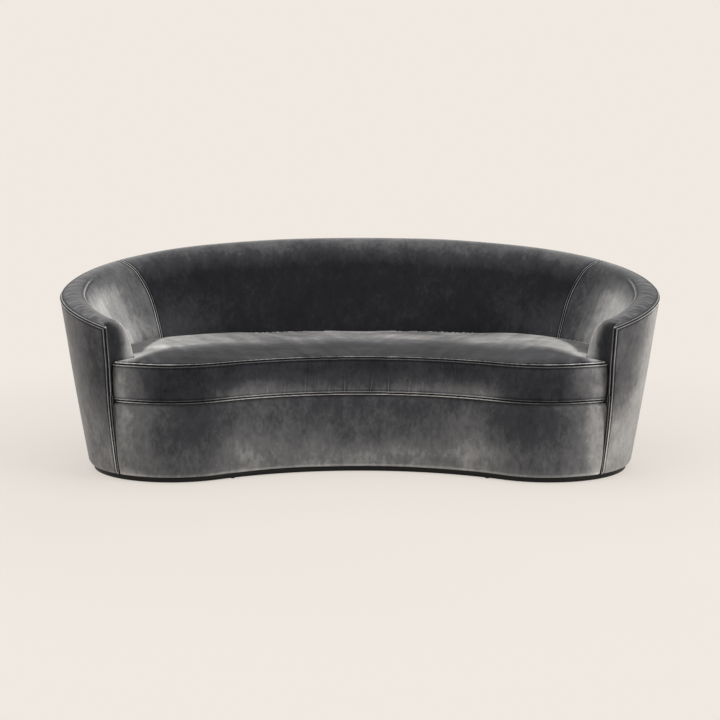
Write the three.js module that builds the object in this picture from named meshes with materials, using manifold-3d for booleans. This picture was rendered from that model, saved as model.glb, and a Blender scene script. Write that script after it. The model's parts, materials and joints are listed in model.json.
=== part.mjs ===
// Curved sofa with a kidney-shaped plan, a raked wrap-round back and one loose seat cushion, in velvet on a
// black plinth. Millimetres, +Z up, the front faces -Y, and the origin is on the floor under the middle of the
// sofa. The plan is one chain of tangent arcs. Every curved piece is a section carried along that chain at a
// stated distance from it, so what seats on a neighbour takes its place from the same values.
import * as THREE from "three";
import { mergeVertices } from "three/addons/utils/BufferGeometryUtils.js";
import Module from "manifold-3d";

// Plan of the upholstery at its foot: arcs from the middle of the back round to the hollow of the front
const BACK_RADIUS = 2000;
const BACK_SWEEP = 16.5; // degrees
const END_RADIUS = 640;
const END_SWEEP = 65;
const CORNER_RADIUS = 335;
const HOLLOW_RADIUS = 980;
const BACK_SEGMENTS = 4; // facets in each half arc
const END_SEGMENTS = 10;
const CORNER_SEGMENTS = 9;
const HOLLOW_SEGMENTS = 7;

// Heights above the floor
const GLIDE_HEIGHT = 2.5;
const PLINTH_HEIGHT = 21;
const DECK_HEIGHT = 291; // top of the sprung deck, where the cushion rests
const ARM_HEIGHT = 574; // rim seam at the front of the arms
const BACK_HEIGHT = 780; // rim seam at the middle of the back
const RIM_FALL_POWER = 2.34; // how late the rim drops towards the arms

// The wall: back and arms
const LEAN = 8.5; // degrees, outside face
const WALL_THICKNESS = 162; // at the seat
const BACK_ROLL_WIDTH = 104; // of the padded roll over the top rail
const ARM_ROLL_WIDTH = 148; // at the arm front
const ROLL_GROWTH_POWER = 6; // how late the roll widens towards the arm front
const ROLL_CROWN = 12; // rise of the roll above the rim seam
const ROLL_DROP = 66; // from the rim seam to where the roll meets the inner face
const CREST_SHARE = 0.42; // of the roll's width, where it is highest
const PANEL_SEAM_ANGLE = 49; // degrees round the plan, seam between back and arm
const INNER_SEAM_SHIFT = 24; // the inner seam runs towards the back on its way down
const ARM_END_ANGLE = 141.8; // where the padded arm stops
const LIP_TOP_ANGLE = 147.8; // front edge of the outside panel, at the rim
const LIP_FOOT_ANGLE = 144.2; // and at its foot
const LIP_BLEND = 34; // width over which the arm front dishes back from the lip
const LIP_EDGE = 12; // thickness of the lip at its front edge

// Layers
const FIT = 0.3; // clearance between neighbours
const SEAM_GAP = 0.6; // between two covers where they are sewn together
const PAD_GAP = 0.8; // between the foam and the top of the frame
const EDGE_GAP = 1; // between the front border and the outside panel's edge
const COVER = 4; // velvet with its wadding
const OUTER_PANEL = 5; // velvet on board
const RAIL_THICKNESS = 22;
const POST_THICKNESS = 22;
const WEB_THICKNESS = 2;
const OVERRUN = 20; // of a cutting solid past what it cuts
const SEAM_OVERRUN = 2; // the same at the seam between back and arm, where the path bends

// Frame
const BASE_THICKNESS = 22;
const BASE_WIDTH = 78;
const PLINTH_INSET = 18;
const PLINTH_THICKNESS = 18;
const SEAT_RAIL_DEPTH = 80;
const TOP_RAIL_DEPTH = 70;
const TOP_RAIL_DROP = 30; // from the rim seam to the top rail
const POST_WIDTH = 44;
const POST_DROP = 8; // of the posts' tops below the top rail's
const BACK_POST_PLACES = [225, 669]; // from the middle
const ARM_POST_ANGLES = [72, 136]; // round the plan, from the middle of the back
const CROSS_RAIL_WIDTH = 24;
const CROSS_RAIL_DEPTH = 45;
const CROSS_RAIL_PLACE = 270; // from the middle
const BASE_CROSS_PLACE = 420;
const FRONT_POST_PLACE = 430;

// Front border under the cushion
const BORDER_FOAM = 14;
const BORDER_BULGE = 4;
const BORDER_EDGE_RADIUS = 16;
const BORDER_FOLD = 46; // how far the cover folds back over the deck edge
const BORDER_EDGE_FOAM = 5.5; // foam over the rail's top edge
const BORDER_FLARE = 20; // how far its top spreads outward towards the lip, at its ends
const EAR_FLARE = 16; // the same of the cushion's ears
const FLARE_REACH = 80; // distance from the arm front over which both die away

// Seat deck and springs
const DECK_PAD = 10;
const DUST_COVER = 1.2;
const WIRE = 4;
const SPRING_PLACES = [0, 169, 344, 519]; // from the middle, both sides
const SPRING_WIDTH = 46;
const SPRING_PITCH = 88;
const SPRING_STEPS = 7; // in each pitch
const SPRING_STRAIGHT = 20; // at each end, under the clip
const CLIP_LENGTH = 14;
const CLIP_WIDTH = 20;
const CLIP_HEIGHT = 3;
const CLIP_SETBACK = 4; // of the wire's ends from the rails' faces

// Glides under the plinth
const GLIDE_RADIUS = 8;
const GLIDE_ANGLES = [30, 100];
const GLIDE_SIDES = 16;

// Seat cushion
const CUSHION_PROUD = 4; // of the plan, at the front
const CUSHION_GAP = 5; // to the wall
const EAR_GAP = 4; // to the front of the arm
const CUSHION_CROWN = 16;
const CUSHION_SEAM_RISE = 145; // from the deck to the top seam
const CROWN_REACH = 95; // distance over which the crown rises
const LOWER_SEAM = 10; // of the lower seam above the deck
const BOTTOM_INSET = 12; // of the flat underside
const BOXING_BULGE = 7;
const EAR_CORNER = 16; // rounding of the ears
const EAR_REACH = 150; // how far inside the arm's corner the ear's strips reach the front
const CUSHION_SKIN = 3;
const CORE_GAP = 1;
const ZIP_LENGTH = 640;
const ZIP_HEIGHT = 7;
const CROSS_STRIPS = 6; // front to back
const EAR_STRIPS = 3; // in each ear
const SEAT_STRIPS = 13; // from an ear to the middle

const RANK_SHARE = 0.001; // how little distance outward counts beside height when a face is split

const wasm = await Module();
wasm.setup();
const { degToRad: radians, lerp, clamp } = THREE.MathUtils;

// Worked-out levels and depths
const SEAM_HEIGHT = DECK_HEIGHT + CUSHION_SEAM_RISE;
const SEAT_RAIL_TOP = DECK_HEIGHT - DECK_PAD - WIRE - 2 * FIT;
const PLINTH_TOP = GLIDE_HEIGHT + PLINTH_HEIGHT;
const FOOT = PLINTH_TOP + FIT;
const BASE_TOP = FOOT + BASE_THICKNESS;
const SEAT_RAIL_FOOT = SEAT_RAIL_TOP - SEAT_RAIL_DEPTH;
const WIRE_TOP = SEAT_RAIL_TOP + FIT + WIRE;
const RAIL_FACE = OUTER_PANEL + FIT;
const RAIL_BACK = RAIL_FACE + RAIL_THICKNESS;
const POST_FACE = RAIL_BACK + FIT;
const POST_BACK = POST_FACE + POST_THICKNESS;
const WEB_BACK = POST_BACK + FIT + WEB_THICKNESS;
const FOAM_BACK = WEB_BACK + FIT;
const BORDER_RAIL_FACE = COVER + BORDER_FOAM + 2 * FIT;
const BORDER_RAIL_BACK = BORDER_RAIL_FACE + RAIL_THICKNESS;

// The half plan: stations on tangent arcs, each with its distance along the path and its outward normal
function planStations() {
  const turn = radians(BACK_SWEEP);
  const turnEnd = radians(BACK_SWEEP + END_SWEEP);
  const back = new THREE.Vector2(0, -BACK_RADIUS);
  const end = back.clone().add(heading(turn).multiplyScalar(BACK_RADIUS - END_RADIUS));
  const corner = end.clone().add(heading(turnEnd).multiplyScalar(END_RADIUS - CORNER_RADIUS));
  const reach = CORNER_RADIUS + HOLLOW_RADIUS;
  const hollow = new THREE.Vector2(0, corner.y - Math.sqrt(reach * reach - corner.x * corner.x));
  const turnHollow = Math.PI + Math.asin(corner.x / reach);
  const list = [{ s: 0, ...station(back, BACK_RADIUS, 0) }];
  function arc(centre, radius, from, to, count) {
    for (let i = 1; i <= count; i++) {
      const angle = lerp(from, to, i / count);
      const length = Math.abs(radius * (to - from)) / count;
      list.push({ s: list.at(-1).s + length, ...station(centre, radius, angle) });
    }
  }
  arc(back, BACK_RADIUS, 0, turn, BACK_SEGMENTS);
  arc(end, END_RADIUS, turn, turnEnd, END_SEGMENTS);
  arc(corner, CORNER_RADIUS, turnEnd, turnHollow, CORNER_SEGMENTS);
  arc(hollow, -HOLLOW_RADIUS, turnHollow, Math.PI, HOLLOW_SEGMENTS);
  return list;
}

function heading(angle) {
  return new THREE.Vector2(Math.sin(angle), Math.cos(angle));
}

function station(centre, radius, angle) {
  const normal = heading(angle);
  return { angle, normal, point: centre.clone().addScaledVector(normal, radius) };
}

const PLAN = planStations();
const FRONT_MIDDLE = PLAN.at(-1).s;

// Distance along the path at a heading, on the convex arcs
function alongAt(degrees) {
  const angle = radians(degrees);
  const k = PLAN.findIndex((p) => p.angle >= angle);
  const share = (angle - PLAN[k - 1].angle) / (PLAN[k].angle - PLAN[k - 1].angle);
  return lerp(PLAN[k - 1].s, PLAN[k].s, share);
}

const PANEL_SEAM = alongAt(PANEL_SEAM_ANGLE);
const ARM_END = alongAt(ARM_END_ANGLE);
const LIP_TOP = alongAt(LIP_TOP_ANGLE);
const LIP_FOOT = alongAt(LIP_FOOT_ANGLE);

// A point beside the path: s runs from the middle of the back, negative on the left, q is the distance outward
function at(s, q, z) {
  const along = Math.abs(s) > FRONT_MIDDLE ? 2 * FRONT_MIDDLE - Math.abs(s) : Math.abs(s);
  const side = (Math.abs(s) > FRONT_MIDDLE ? -1 : 1) * (s < 0 ? -1 : 1);
  const k = Math.max(1, PLAN.findIndex((p) => p.s >= along - 1e-9));
  const from = PLAN[k - 1];
  const to = PLAN[k];
  const share = (along - from.s) / (to.s - from.s);
  const x = lerp(from.point.x + from.normal.x * q, to.point.x + to.normal.x * q, share);
  const y = lerp(from.point.y + from.normal.y * q, to.point.y + to.normal.y * q, share);
  return new THREE.Vector3(side * x, y, z);
}

// Places of the sections between two ends: the plan's own stations, and the ends
function run(from, to) {
  const all = PLAN.map((p) => p.s);
  const round = [...all.map((s) => -s), ...all, ...all.map((s) => 2 * FRONT_MIDDLE - s)];
  const inner = [...new Set(round)].filter((s) => s > from + SEAM_GAP && s < to - SEAM_GAP);
  return [from, ...inner.sort((a, b) => a - b), to];
}

// Closed solid through sections that have the same number of points. Each side face is split from its highest
// or outermost corner, so that faces which lie on each other are split alike.
function lofted(sections) {
  const count = sections[0].length;
  const points = sections.flat();
  const index = [];
  for (let k = 0; k + 1 < sections.length; k++) {
    for (let j = 0; j < count; j++) {
      const next = (j + 1) % count;
      const face = [k * count + j, k * count + next, (k + 1) * count + next, (k + 1) * count + j];
      const [a, b, c, d] = leadWith(face, points);
      index.push(a, b, c, a, c, d);
    }
  }
  const first = capTriangles(sections[0]);
  const last = capTriangles(sections.at(-1));
  const offset = (sections.length - 1) * count;
  for (const [a, b, c] of first) index.push(a, c, b);
  for (const [a, b, c] of last) index.push(offset + a, offset + b, offset + c);
  return facingOut(geometryOf(points, index));
}

function leadWith(face, points) {
  const rank = (i) => points[i].z + RANK_SHARE * Math.hypot(points[i].x, points[i].y);
  const ranks = face.map(rank);
  const first = ranks.indexOf(Math.max(...ranks));
  return [...face.slice(first), ...face.slice(0, first)];
}

// Triangles of a nearly flat outline, in its own plane
function capTriangles(outline) {
  const normal = new THREE.Vector3();
  outline.forEach((p, i) => normal.add(p.clone().cross(outline[(i + 1) % outline.length])));
  normal.normalize();
  const across = new THREE.Vector3(0, 0, 1).cross(normal);
  if (across.length() < 0.1) across.set(1, 0, 0);
  across.normalize();
  const up = normal.clone().cross(across);
  const flat = outline.map((p) => new THREE.Vector2(p.dot(across), p.dot(up)));
  return THREE.ShapeUtils.triangulateShape(flat, []);
}

function geometryOf(points, index) {
  const geometry = new THREE.BufferGeometry().setFromPoints(points);
  geometry.setIndex(index);
  return geometry;
}

function facingOut(geometry) {
  const p = geometry.attributes.position;
  const index = geometry.index.array;
  const corner = (i) => new THREE.Vector3().fromBufferAttribute(p, i);
  let volume = 0;
  for (let i = 0; i < index.length; i += 3) {
    volume += corner(index[i]).dot(corner(index[i + 1]).cross(corner(index[i + 2])));
  }
  if (volume < 0) {
    for (let i = 0; i < index.length; i += 3) {
      [index[i + 1], index[i + 2]] = [index[i + 2], index[i + 1]];
    }
  }
  return geometry;
}

// Solids for cutting and joining
function solidOf(geometry) {
  const bare = geometry.clone();
  bare.deleteAttribute("normal");
  bare.deleteAttribute("uv");
  const merged = mergeVertices(bare, 1e-4);
  const vertProperties = merged.attributes.position.array;
  const triVerts = new Uint32Array(merged.index.array);
  return new wasm.Manifold(new wasm.Mesh({ numProp: 3, vertProperties, triVerts }));
}

function meshOf(solid) {
  const { vertProperties, triVerts } = solid.getMesh();
  const geometry = new THREE.BufferGeometry();
  geometry.setAttribute("position", new THREE.BufferAttribute(vertProperties, 3));
  geometry.setIndex(new THREE.BufferAttribute(triVerts, 1));
  return geometry;
}

// A section carried along the path. The polygon is [q, z] pairs, and each point of the two end sections can lie
// at a place of its own.
function swept(from, to, polygon, startOf = () => from, endOf = () => to) {
  const places = run(from, to);
  const sections = places.map((s, k) => {
    const placeOf = k === 0 ? startOf : k === places.length - 1 ? endOf : () => s;
    return polygon(s).map(([q, z], j) => {
      const place = placeOf(q, z);
      const [depth, height] = polygon(place)[j];
      return at(place, depth, height);
    });
  });
  return lofted(sections);
}

// A rectangle of the wall or front, upright or leaning
function block(outer, inner, low, high) {
  return [
    [outer(low), low],
    [outer(high), high],
    [inner(high), high],
    [inner(low), low],
  ];
}

// The wall's outside face, and any depth in from it
function outside(z) {
  return (z - FOOT) * Math.tan(radians(LEAN));
}

function within(depth) {
  return (z) => outside(z) - depth;
}

function fixed(q) {
  return () => q;
}

function wallShare(s) {
  return Math.min(Math.abs(s) / LIP_TOP, 1);
}

function rimHeight(s) {
  return BACK_HEIGHT - (BACK_HEIGHT - ARM_HEIGHT) * wallShare(s) ** RIM_FALL_POWER;
}

function rollWidth(s) {
  const share = wallShare(s) ** ROLL_GROWTH_POWER;
  return lerp(BACK_ROLL_WIDTH, ARM_ROLL_WIDTH, share);
}

// The skin of the wall, from the rim seam over the roll and down the inner face to the deck
function skin(s) {
  const rim = rimHeight(s);
  const edge = outside(rim);
  const width = rollWidth(s);
  const crest = CREST_SHARE * width;
  const path = [0, 1, 2, 3].map((i) => [
    edge - (crest * i) / 3,
    rim + ROLL_CROWN * Math.sin((Math.PI * i) / 6),
  ]);
  for (let i = 1; i <= 4; i++) {
    const angle = (Math.PI * i) / 8;
    const q = edge - crest - (width - crest) * Math.sin(angle);
    path.push([q, rim + ROLL_CROWN - (ROLL_CROWN + ROLL_DROP) * (1 - Math.cos(angle))]);
  }
  const seat = SEAM_HEIGHT;
  path.push([outside(seat) - WALL_THICKNESS, seat]);
  path.push([outside(DECK_HEIGHT) - WALL_THICKNESS, DECK_HEIGHT + FIT]);
  return path;
}

// A path moved into the body it covers, by the mean of its segments' normals
function inset(path, depth) {
  return path.map(([q, z], i) => {
    const before = path[Math.max(i - 1, 0)];
    const after = path[Math.min(i + 1, path.length - 1)];
    const along = after[0] - before[0];
    const up = after[1] - before[1];
    const length = Math.hypot(along, up);
    return [q - (depth * up) / length, z + (depth * along) / length];
  });
}

// Where the back's inner cover meets the arm's: it moves towards the back on its way down
function innerSeam(z) {
  const rim = rimHeight(PANEL_SEAM);
  const share = clamp((rim - z) / (rim - SEAM_HEIGHT), 0, 1);
  return PANEL_SEAM - INNER_SEAM_SHIFT * share;
}

// Front edge of the outside panel, raked back towards its foot
function lipEdge(z) {
  return lerp(LIP_FOOT, LIP_TOP, (z - FOOT) / (ARM_HEIGHT - FOOT));
}

// The front border and the cushion's ears spread outward where they meet the arm front
function flare(s, width) {
  const along = Math.min(Math.abs(s), 2 * FRONT_MIDDLE - Math.abs(s));
  return width * clamp(1 - (along - ARM_END) / FLARE_REACH, 0, 1);
}

// What is cut away in front of the padded arm: from the lip the front dishes back to a flat upright face.
// A depth moves the cut into the arm by the layers that lie over it.
function armFrontCut(sign, depth) {
  const from = ARM_END - depth;
  const to = LIP_TOP + OVERRUN;
  const slope = (LIP_BLEND - LIP_EDGE) / (LIP_TOP - ARM_END);
  const beside = BORDER_BULGE + SEAM_GAP + depth;
  const top = ARM_HEIGHT + ROLL_CROWN + OVERRUN;
  const section = (s) => {
    const edge = within(LIP_BLEND - slope * (Math.abs(s) - from) - depth);
    const inner = within(WALL_THICKNESS + OVERRUN);
    return [
      [beside, GLIDE_HEIGHT],
      [beside + BORDER_FLARE, DECK_HEIGHT],
      [edge(SEAM_HEIGHT), SEAM_HEIGHT],
      [edge(top), top],
      [inner(top), top],
      [inner(GLIDE_HEIGHT), GLIDE_HEIGHT],
    ];
  };
  return solidOf(sweptOn(sign, from, to, section));
}

const VELVET = new THREE.MeshStandardMaterial({ color: 0x55565a, roughness: 0.9 });
const FOAM = new THREE.MeshStandardMaterial({ color: 0xe6dcae, roughness: 0.95 });
const BIRCH = new THREE.MeshStandardMaterial({ color: 0xc9a878, roughness: 0.7 });
const PLINTH_BLACK = new THREE.MeshStandardMaterial({ color: 0x15161a, roughness: 0.55 });
const STEEL = new THREE.MeshStandardMaterial({ color: 0x8f9398, roughness: 0.35, metalness: 0.9 });
const JUTE = new THREE.MeshStandardMaterial({ color: 0xa78a5e, roughness: 0.95 });
const FELT = new THREE.MeshStandardMaterial({ color: 0x3a3a3c, roughness: 0.95 });
const NYLON = new THREE.MeshStandardMaterial({ color: 0x202022, roughness: 0.5 });

const sofa = new THREE.Group();

function add(name, geometry, material, group = sofa) {
  const mesh = new THREE.Mesh(geometry, material);
  mesh.name = name;
  group.add(mesh);
}

// The right-hand piece, and its mirror image on the left
function addPair(name, geometryFor, material) {
  for (const [side, sign] of [["right", 1], ["left", -1]]) {
    add(`${name}_${side}`, geometryFor(sign), material);
  }
}

// A swept piece on the right or left, whose ends are given for the right
function sweptOn(sign, from, to, polygon, startOf = () => from, endOf = () => to) {
  if (sign > 0) return swept(from, to, polygon, startOf, endOf);
  return swept(-to, -from, polygon, (q, z) => -endOf(q, z), (q, z) => -startOf(q, z));
}

// Plinth and base frame: four curved lengths each, butted at the panel seams and the arm fronts
const BASE_JOINTS = [PANEL_SEAM, ARM_END];

function addRing(name, material, polygon, frontPolygon) {
  const [seam, end] = BASE_JOINTS;
  add(`${name}_back`, swept(-seam, seam, polygon), material);
  addPair(`${name}_end`, (sign) => sweptOn(sign, seam + FIT, end, polygon), material);
  add(`${name}_front`, swept(end + FIT, 2 * FRONT_MIDDLE - end - FIT, frontPolygon), material);
}

function buildPlinth() {
  const outer = fixed(-PLINTH_INSET);
  const inner = fixed(-PLINTH_INSET - PLINTH_THICKNESS);
  const section = () => block(outer, inner, GLIDE_HEIGHT, PLINTH_TOP);
  addRing("plinth", PLINTH_BLACK, section, section);
}

function buildGlides() {
  const middle = -PLINTH_INSET - PLINTH_THICKNESS / 2;
  const height = GLIDE_HEIGHT - FIT;
  const places = [...GLIDE_ANGLES.map(alongAt), (ARM_END + FRONT_MIDDLE) / 2];
  for (const [side, sign] of [["right", 1], ["left", -1]]) {
    places.forEach((s, i) => {
      const geometry = new THREE.CylinderGeometry(GLIDE_RADIUS, GLIDE_RADIUS, height, GLIDE_SIDES);
      add(`glide_${side}_${i + 1}`, geometry, NYLON);
      const mesh = sofa.children.at(-1);
      mesh.rotation.x = Math.PI / 2;
      mesh.position.copy(at(sign * s, middle, height / 2));
    });
  }
}

function buildBase() {
  const inner = fixed(-RAIL_FACE - BASE_WIDTH);
  const wall = () => block(fixed(-RAIL_FACE), inner, FOOT, BASE_TOP);
  const front = () => block(fixed(-BORDER_RAIL_FACE), inner, FOOT, BASE_TOP);
  addRing("base_rail", BIRCH, wall, front);
  addPair("base_cross_rail", (sign) =>
    crossPiece(sign * BASE_CROSS_PLACE, CROSS_RAIL_WIDTH, -RAIL_FACE - BASE_WIDTH, -RAIL_FACE - BASE_WIDTH,
      FOOT, BASE_TOP), BIRCH);
}

// Where a line parallel to the sofa's middle crosses an offset of the path, between two places on it
function crossing(x, q, from, to) {
  const places = run(from, to);
  for (let k = 0; k + 1 < places.length; k++) {
    const a = at(places[k], q, 0);
    const b = at(places[k + 1], q, 0);
    if ((a.x - x) * (b.x - x) <= 0) {
      const share = (x - a.x) / (b.x - a.x);
      return { from: places[k], to: places[k + 1], share, y: lerp(a.y, b.y, share) };
    }
  }
  throw new Error(`nothing crosses x = ${x}`);
}

function placeAt(x, q, from, to) {
  const found = crossing(x, q, from, to);
  return lerp(found.from, found.to, found.share);
}

function frontAt(x, q) {
  return crossing(x, q, ARM_END, 2 * FRONT_MIDDLE - ARM_END).y;
}

function backAt(x, q) {
  return crossing(x, q, -ARM_END, ARM_END).y;
}

// A straight piece from front to back, its ends cut to the curved faces it meets
function crossPiece(x, width, frontDepth, backDepth, low, high) {
  const sides = [x - width / 2, x + width / 2];
  const front = sides.map((v) => new THREE.Vector2(v, frontAt(v, frontDepth) + FIT));
  const back = sides.map((v) => new THREE.Vector2(v, backAt(v, backDepth) - FIT));
  const shape = new THREE.Shape([front[0], front[1], back[1], back[0]]);
  const geometry = new THREE.ExtrudeGeometry(shape, { depth: high - low, bevelEnabled: false });
  return geometry.translate(0, 0, low);
}

// Rails: the seat rail runs all round, and the top rail follows the rim
function buildRails() {
  const seatRail = () => block(within(RAIL_FACE), within(RAIL_BACK), SEAT_RAIL_FOOT, SEAT_RAIL_TOP);
  add("seat_rail_back", swept(-PANEL_SEAM, PANEL_SEAM, seatRail), BIRCH);
  addPair("seat_rail_side", (sign) => sweptOn(sign, PANEL_SEAM + FIT, ARM_END - COVER - FIT, seatRail), BIRCH);
  const frontRail = () =>
    block(fixed(-BORDER_RAIL_FACE), fixed(-BORDER_RAIL_BACK), SEAT_RAIL_FOOT, SEAT_RAIL_TOP);
  add("seat_rail_front", swept(ARM_END + FIT, 2 * FRONT_MIDDLE - ARM_END - FIT, frontRail), BIRCH);
  const topRail = (s) => {
    const top = rimHeight(s) - TOP_RAIL_DROP;
    return block(within(RAIL_FACE), within(RAIL_BACK), top - TOP_RAIL_DEPTH, top);
  };
  add("top_rail_back", swept(-PANEL_SEAM, PANEL_SEAM, topRail), BIRCH);
  addPair("top_rail_arm", (sign) => sweptOn(sign, PANEL_SEAM + FIT, ARM_END - COVER - FIT, topRail), BIRCH);
  addPair("seat_cross_rail", (sign) => {
    const backFace = outside(SEAT_RAIL_FOOT) - RAIL_BACK;
    return crossPiece(sign * CROSS_RAIL_PLACE, CROSS_RAIL_WIDTH, -BORDER_RAIL_BACK, backFace,
      SEAT_RAIL_FOOT, SEAT_RAIL_FOOT + CROSS_RAIL_DEPTH);
  }, BIRCH);
}

// Posts stand on the base inside the rails, and those of the front carry the front rail
function buildPosts() {
  const post = (s) =>
    block(within(POST_FACE), within(POST_BACK), BASE_TOP + FIT, rimHeight(s) - TOP_RAIL_DROP - POST_DROP);
  const onWall = (sign, middle) => sweptOn(sign, middle - POST_WIDTH / 2, middle + POST_WIDTH / 2, post);
  BACK_POST_PLACES.forEach((x, i) => {
    addPair(`back_post_${i + 1}`, (sign) => onWall(sign, placeAt(x, -POST_FACE, 0, ARM_END)), BIRCH);
  });
  ARM_POST_ANGLES.forEach((degrees, i) => {
    addPair(`arm_post_${i + 1}`, (sign) => onWall(sign, alongAt(degrees)), BIRCH);
  });
  const frontPost = () =>
    block(fixed(-BORDER_RAIL_FACE), fixed(-BORDER_RAIL_BACK), BASE_TOP + FIT, SEAT_RAIL_FOOT - FIT);
  const middle = FRONT_MIDDLE - FRONT_POST_PLACE;
  addPair("front_post", (sign) => sweptOn(sign, middle - POST_WIDTH / 2, middle + POST_WIDTH / 2, frontPost),
    BIRCH);
}

// A zigzag wire between the front and back rails
class ZigzagCurve extends THREE.Curve {
  constructor(x, front, back, z) {
    super();
    Object.assign(this, { x, front, back, z });
    const waves = (back - front - 2 * SPRING_STRAIGHT) / SPRING_PITCH;
    this.waves = Math.max(1, Math.round(waves));
  }

  getPoint(t, target = new THREE.Vector3()) {
    const y = lerp(this.front, this.back, t);
    const from = this.front + SPRING_STRAIGHT;
    const to = this.back - SPRING_STRAIGHT;
    const share = clamp((y - from) / (to - from), 0, 1);
    const swing = (SPRING_WIDTH / 2) * Math.sin(2 * Math.PI * this.waves * share);
    return target.set(this.x + swing, y, this.z);
  }
}

function springGeometry(x) {
  const sides = [x - CLIP_WIDTH / 2, x + CLIP_WIDTH / 2];
  const front = Math.max(...sides.map((v) => frontAt(v, -BORDER_RAIL_FACE))) + CLIP_SETBACK;
  const railFace = outside(SEAT_RAIL_TOP) - RAIL_FACE;
  const back = Math.min(...sides.map((v) => backAt(v, railFace))) - CLIP_SETBACK;
  const middle = SEAT_RAIL_TOP + FIT + WIRE / 2;
  const path = new ZigzagCurve(x, front, back, middle);
  const half = WIRE / 2;
  const section = new THREE.Shape([
    new THREE.Vector2(-half, -half),
    new THREE.Vector2(half, -half),
    new THREE.Vector2(half, half),
    new THREE.Vector2(-half, half),
  ]);
  const steps = path.waves * SPRING_STEPS + 4;
  const wire = new THREE.ExtrudeGeometry(section, { steps, extrudePath: path });
  let solid = solidOf(wire);
  for (const y of [front + CLIP_LENGTH / 2, back - CLIP_LENGTH / 2]) {
    const clip = new THREE.BoxGeometry(CLIP_WIDTH, CLIP_LENGTH, CLIP_HEIGHT);
    clip.translate(x, y, SEAT_RAIL_TOP + FIT + CLIP_HEIGHT / 2);
    solid = solid.add(solidOf(clip));
  }
  return meshOf(solid);
}

function buildSprings() {
  let number = 0;
  for (const place of SPRING_PLACES) {
    for (const sign of place === 0 ? [1] : [1, -1]) {
      number += 1;
      add(`seat_spring_${number}`, springGeometry(sign * place), STEEL);
    }
  }
}

// A flat plate whose outline keeps one distance from the path along the wall and another along the front
function plate(wallOffset, frontOffset, low, high) {
  const wall = run(-ARM_END, ARM_END).map((s) => at(s, wallOffset, 0));
  const front = run(ARM_END, 2 * FRONT_MIDDLE - ARM_END).map((s) => at(s, frontOffset, 0));
  const outline = (wallOffset === frontOffset ? front.slice(1, -1) : front).concat(wall);
  const shape = new THREE.Shape(outline.map((p) => new THREE.Vector2(p.x, p.y)));
  const geometry = new THREE.ExtrudeGeometry(shape, { depth: high - low, bevelEnabled: false });
  return geometry.translate(0, 0, low);
}

function buildDeck() {
  const low = WIRE_TOP + FIT;
  const wall = outside(low) - POST_BACK - FIT;
  add("deck_pad", plate(wall, -BORDER_FOLD - FIT, low, DECK_HEIGHT), FELT);
  const inside = -PLINTH_INSET - PLINTH_THICKNESS - FIT;
  add("dust_cover", plate(inside, inside, FOOT - FIT - DUST_COVER, FOOT - FIT), FELT);
}

// Foam of the wall: over the top rail and down in front of the posts
function foamSection(s) {
  const rim = rimHeight(s);
  const railTop = rim - TOP_RAIL_DROP + PAD_GAP;
  const shoulder = rim - COVER - FIT;
  const under = inset(skin(s), COVER + FIT);
  const foot = DECK_HEIGHT + FIT;
  under.at(-1)[1] = foot;
  return [
    [outside(railTop) - RAIL_FACE, railTop],
    [outside(shoulder) - RAIL_FACE, shoulder],
    ...under.slice(1),
    [outside(foot) - FOAM_BACK, foot],
    [outside(railTop) - FOAM_BACK, railTop],
  ];
}

function coverSection(s) {
  const outer = skin(s);
  const under = inset(outer, COVER);
  under.at(-1)[1] = DECK_HEIGHT + FIT;
  return [...outer, ...under.reverse()];
}

// The padded arm as one body, a depth below its surface: over the deck it reaches in to its inner face, and in
// front of the posts a narrow part goes on down to the base
function armBody(sign, depth, extra) {
  const over = (s) => {
    const foot = DECK_HEIGHT + FIT - extra;
    const edge = rimHeight(s) - COVER - FIT;
    const under = depth > 0 ? inset(skin(s), depth) : skin(s);
    under.at(-1)[0] += outside(foot) - outside(DECK_HEIGHT);
    under.at(-1)[1] = foot;
    return [[outside(foot) - RAIL_FACE + extra, foot], [outside(edge) - RAIL_FACE + extra, edge], ...under];
  };
  const start = (q, z) => innerSeam(z) + SEAM_GAP - Math.min(extra, SEAM_OVERRUN);
  const front = (q, z) => lipEdge(z) - depth;
  const upper = solidOf(sweptOn(sign, PANEL_SEAM, LIP_FOOT, over, start, front));
  const leg = () => block(within(RAIL_FACE - extra), within(POST_BACK + extra), BASE_TOP + FIT - extra,
    DECK_HEIGHT + COVER);
  const legBack = ARM_END - COVER - extra;
  const lower = solidOf(sweptOn(sign, legBack, LIP_FOOT, leg, () => legBack, front));
  return upper.add(lower).subtract(armFrontCut(sign, depth));
}

// The arm's cover wraps from the inner face round the front: the whole arm, less what lies inside the velvet
function armCover(sign) {
  const whole = armBody(sign, 0, 0);
  return meshOf(whole.subtract(armBody(sign, COVER, OVERRUN)));
}

function armFoam(sign) {
  const start = (q, z) => innerSeam(z) + SEAM_GAP;
  const front = (q, z) => lipEdge(z) - COVER - FIT;
  const solid = solidOf(sweptOn(sign, PANEL_SEAM, LIP_FOOT, foamSection, start, front));
  return meshOf(solid.subtract(armFrontCut(sign, COVER + FIT)));
}

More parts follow.
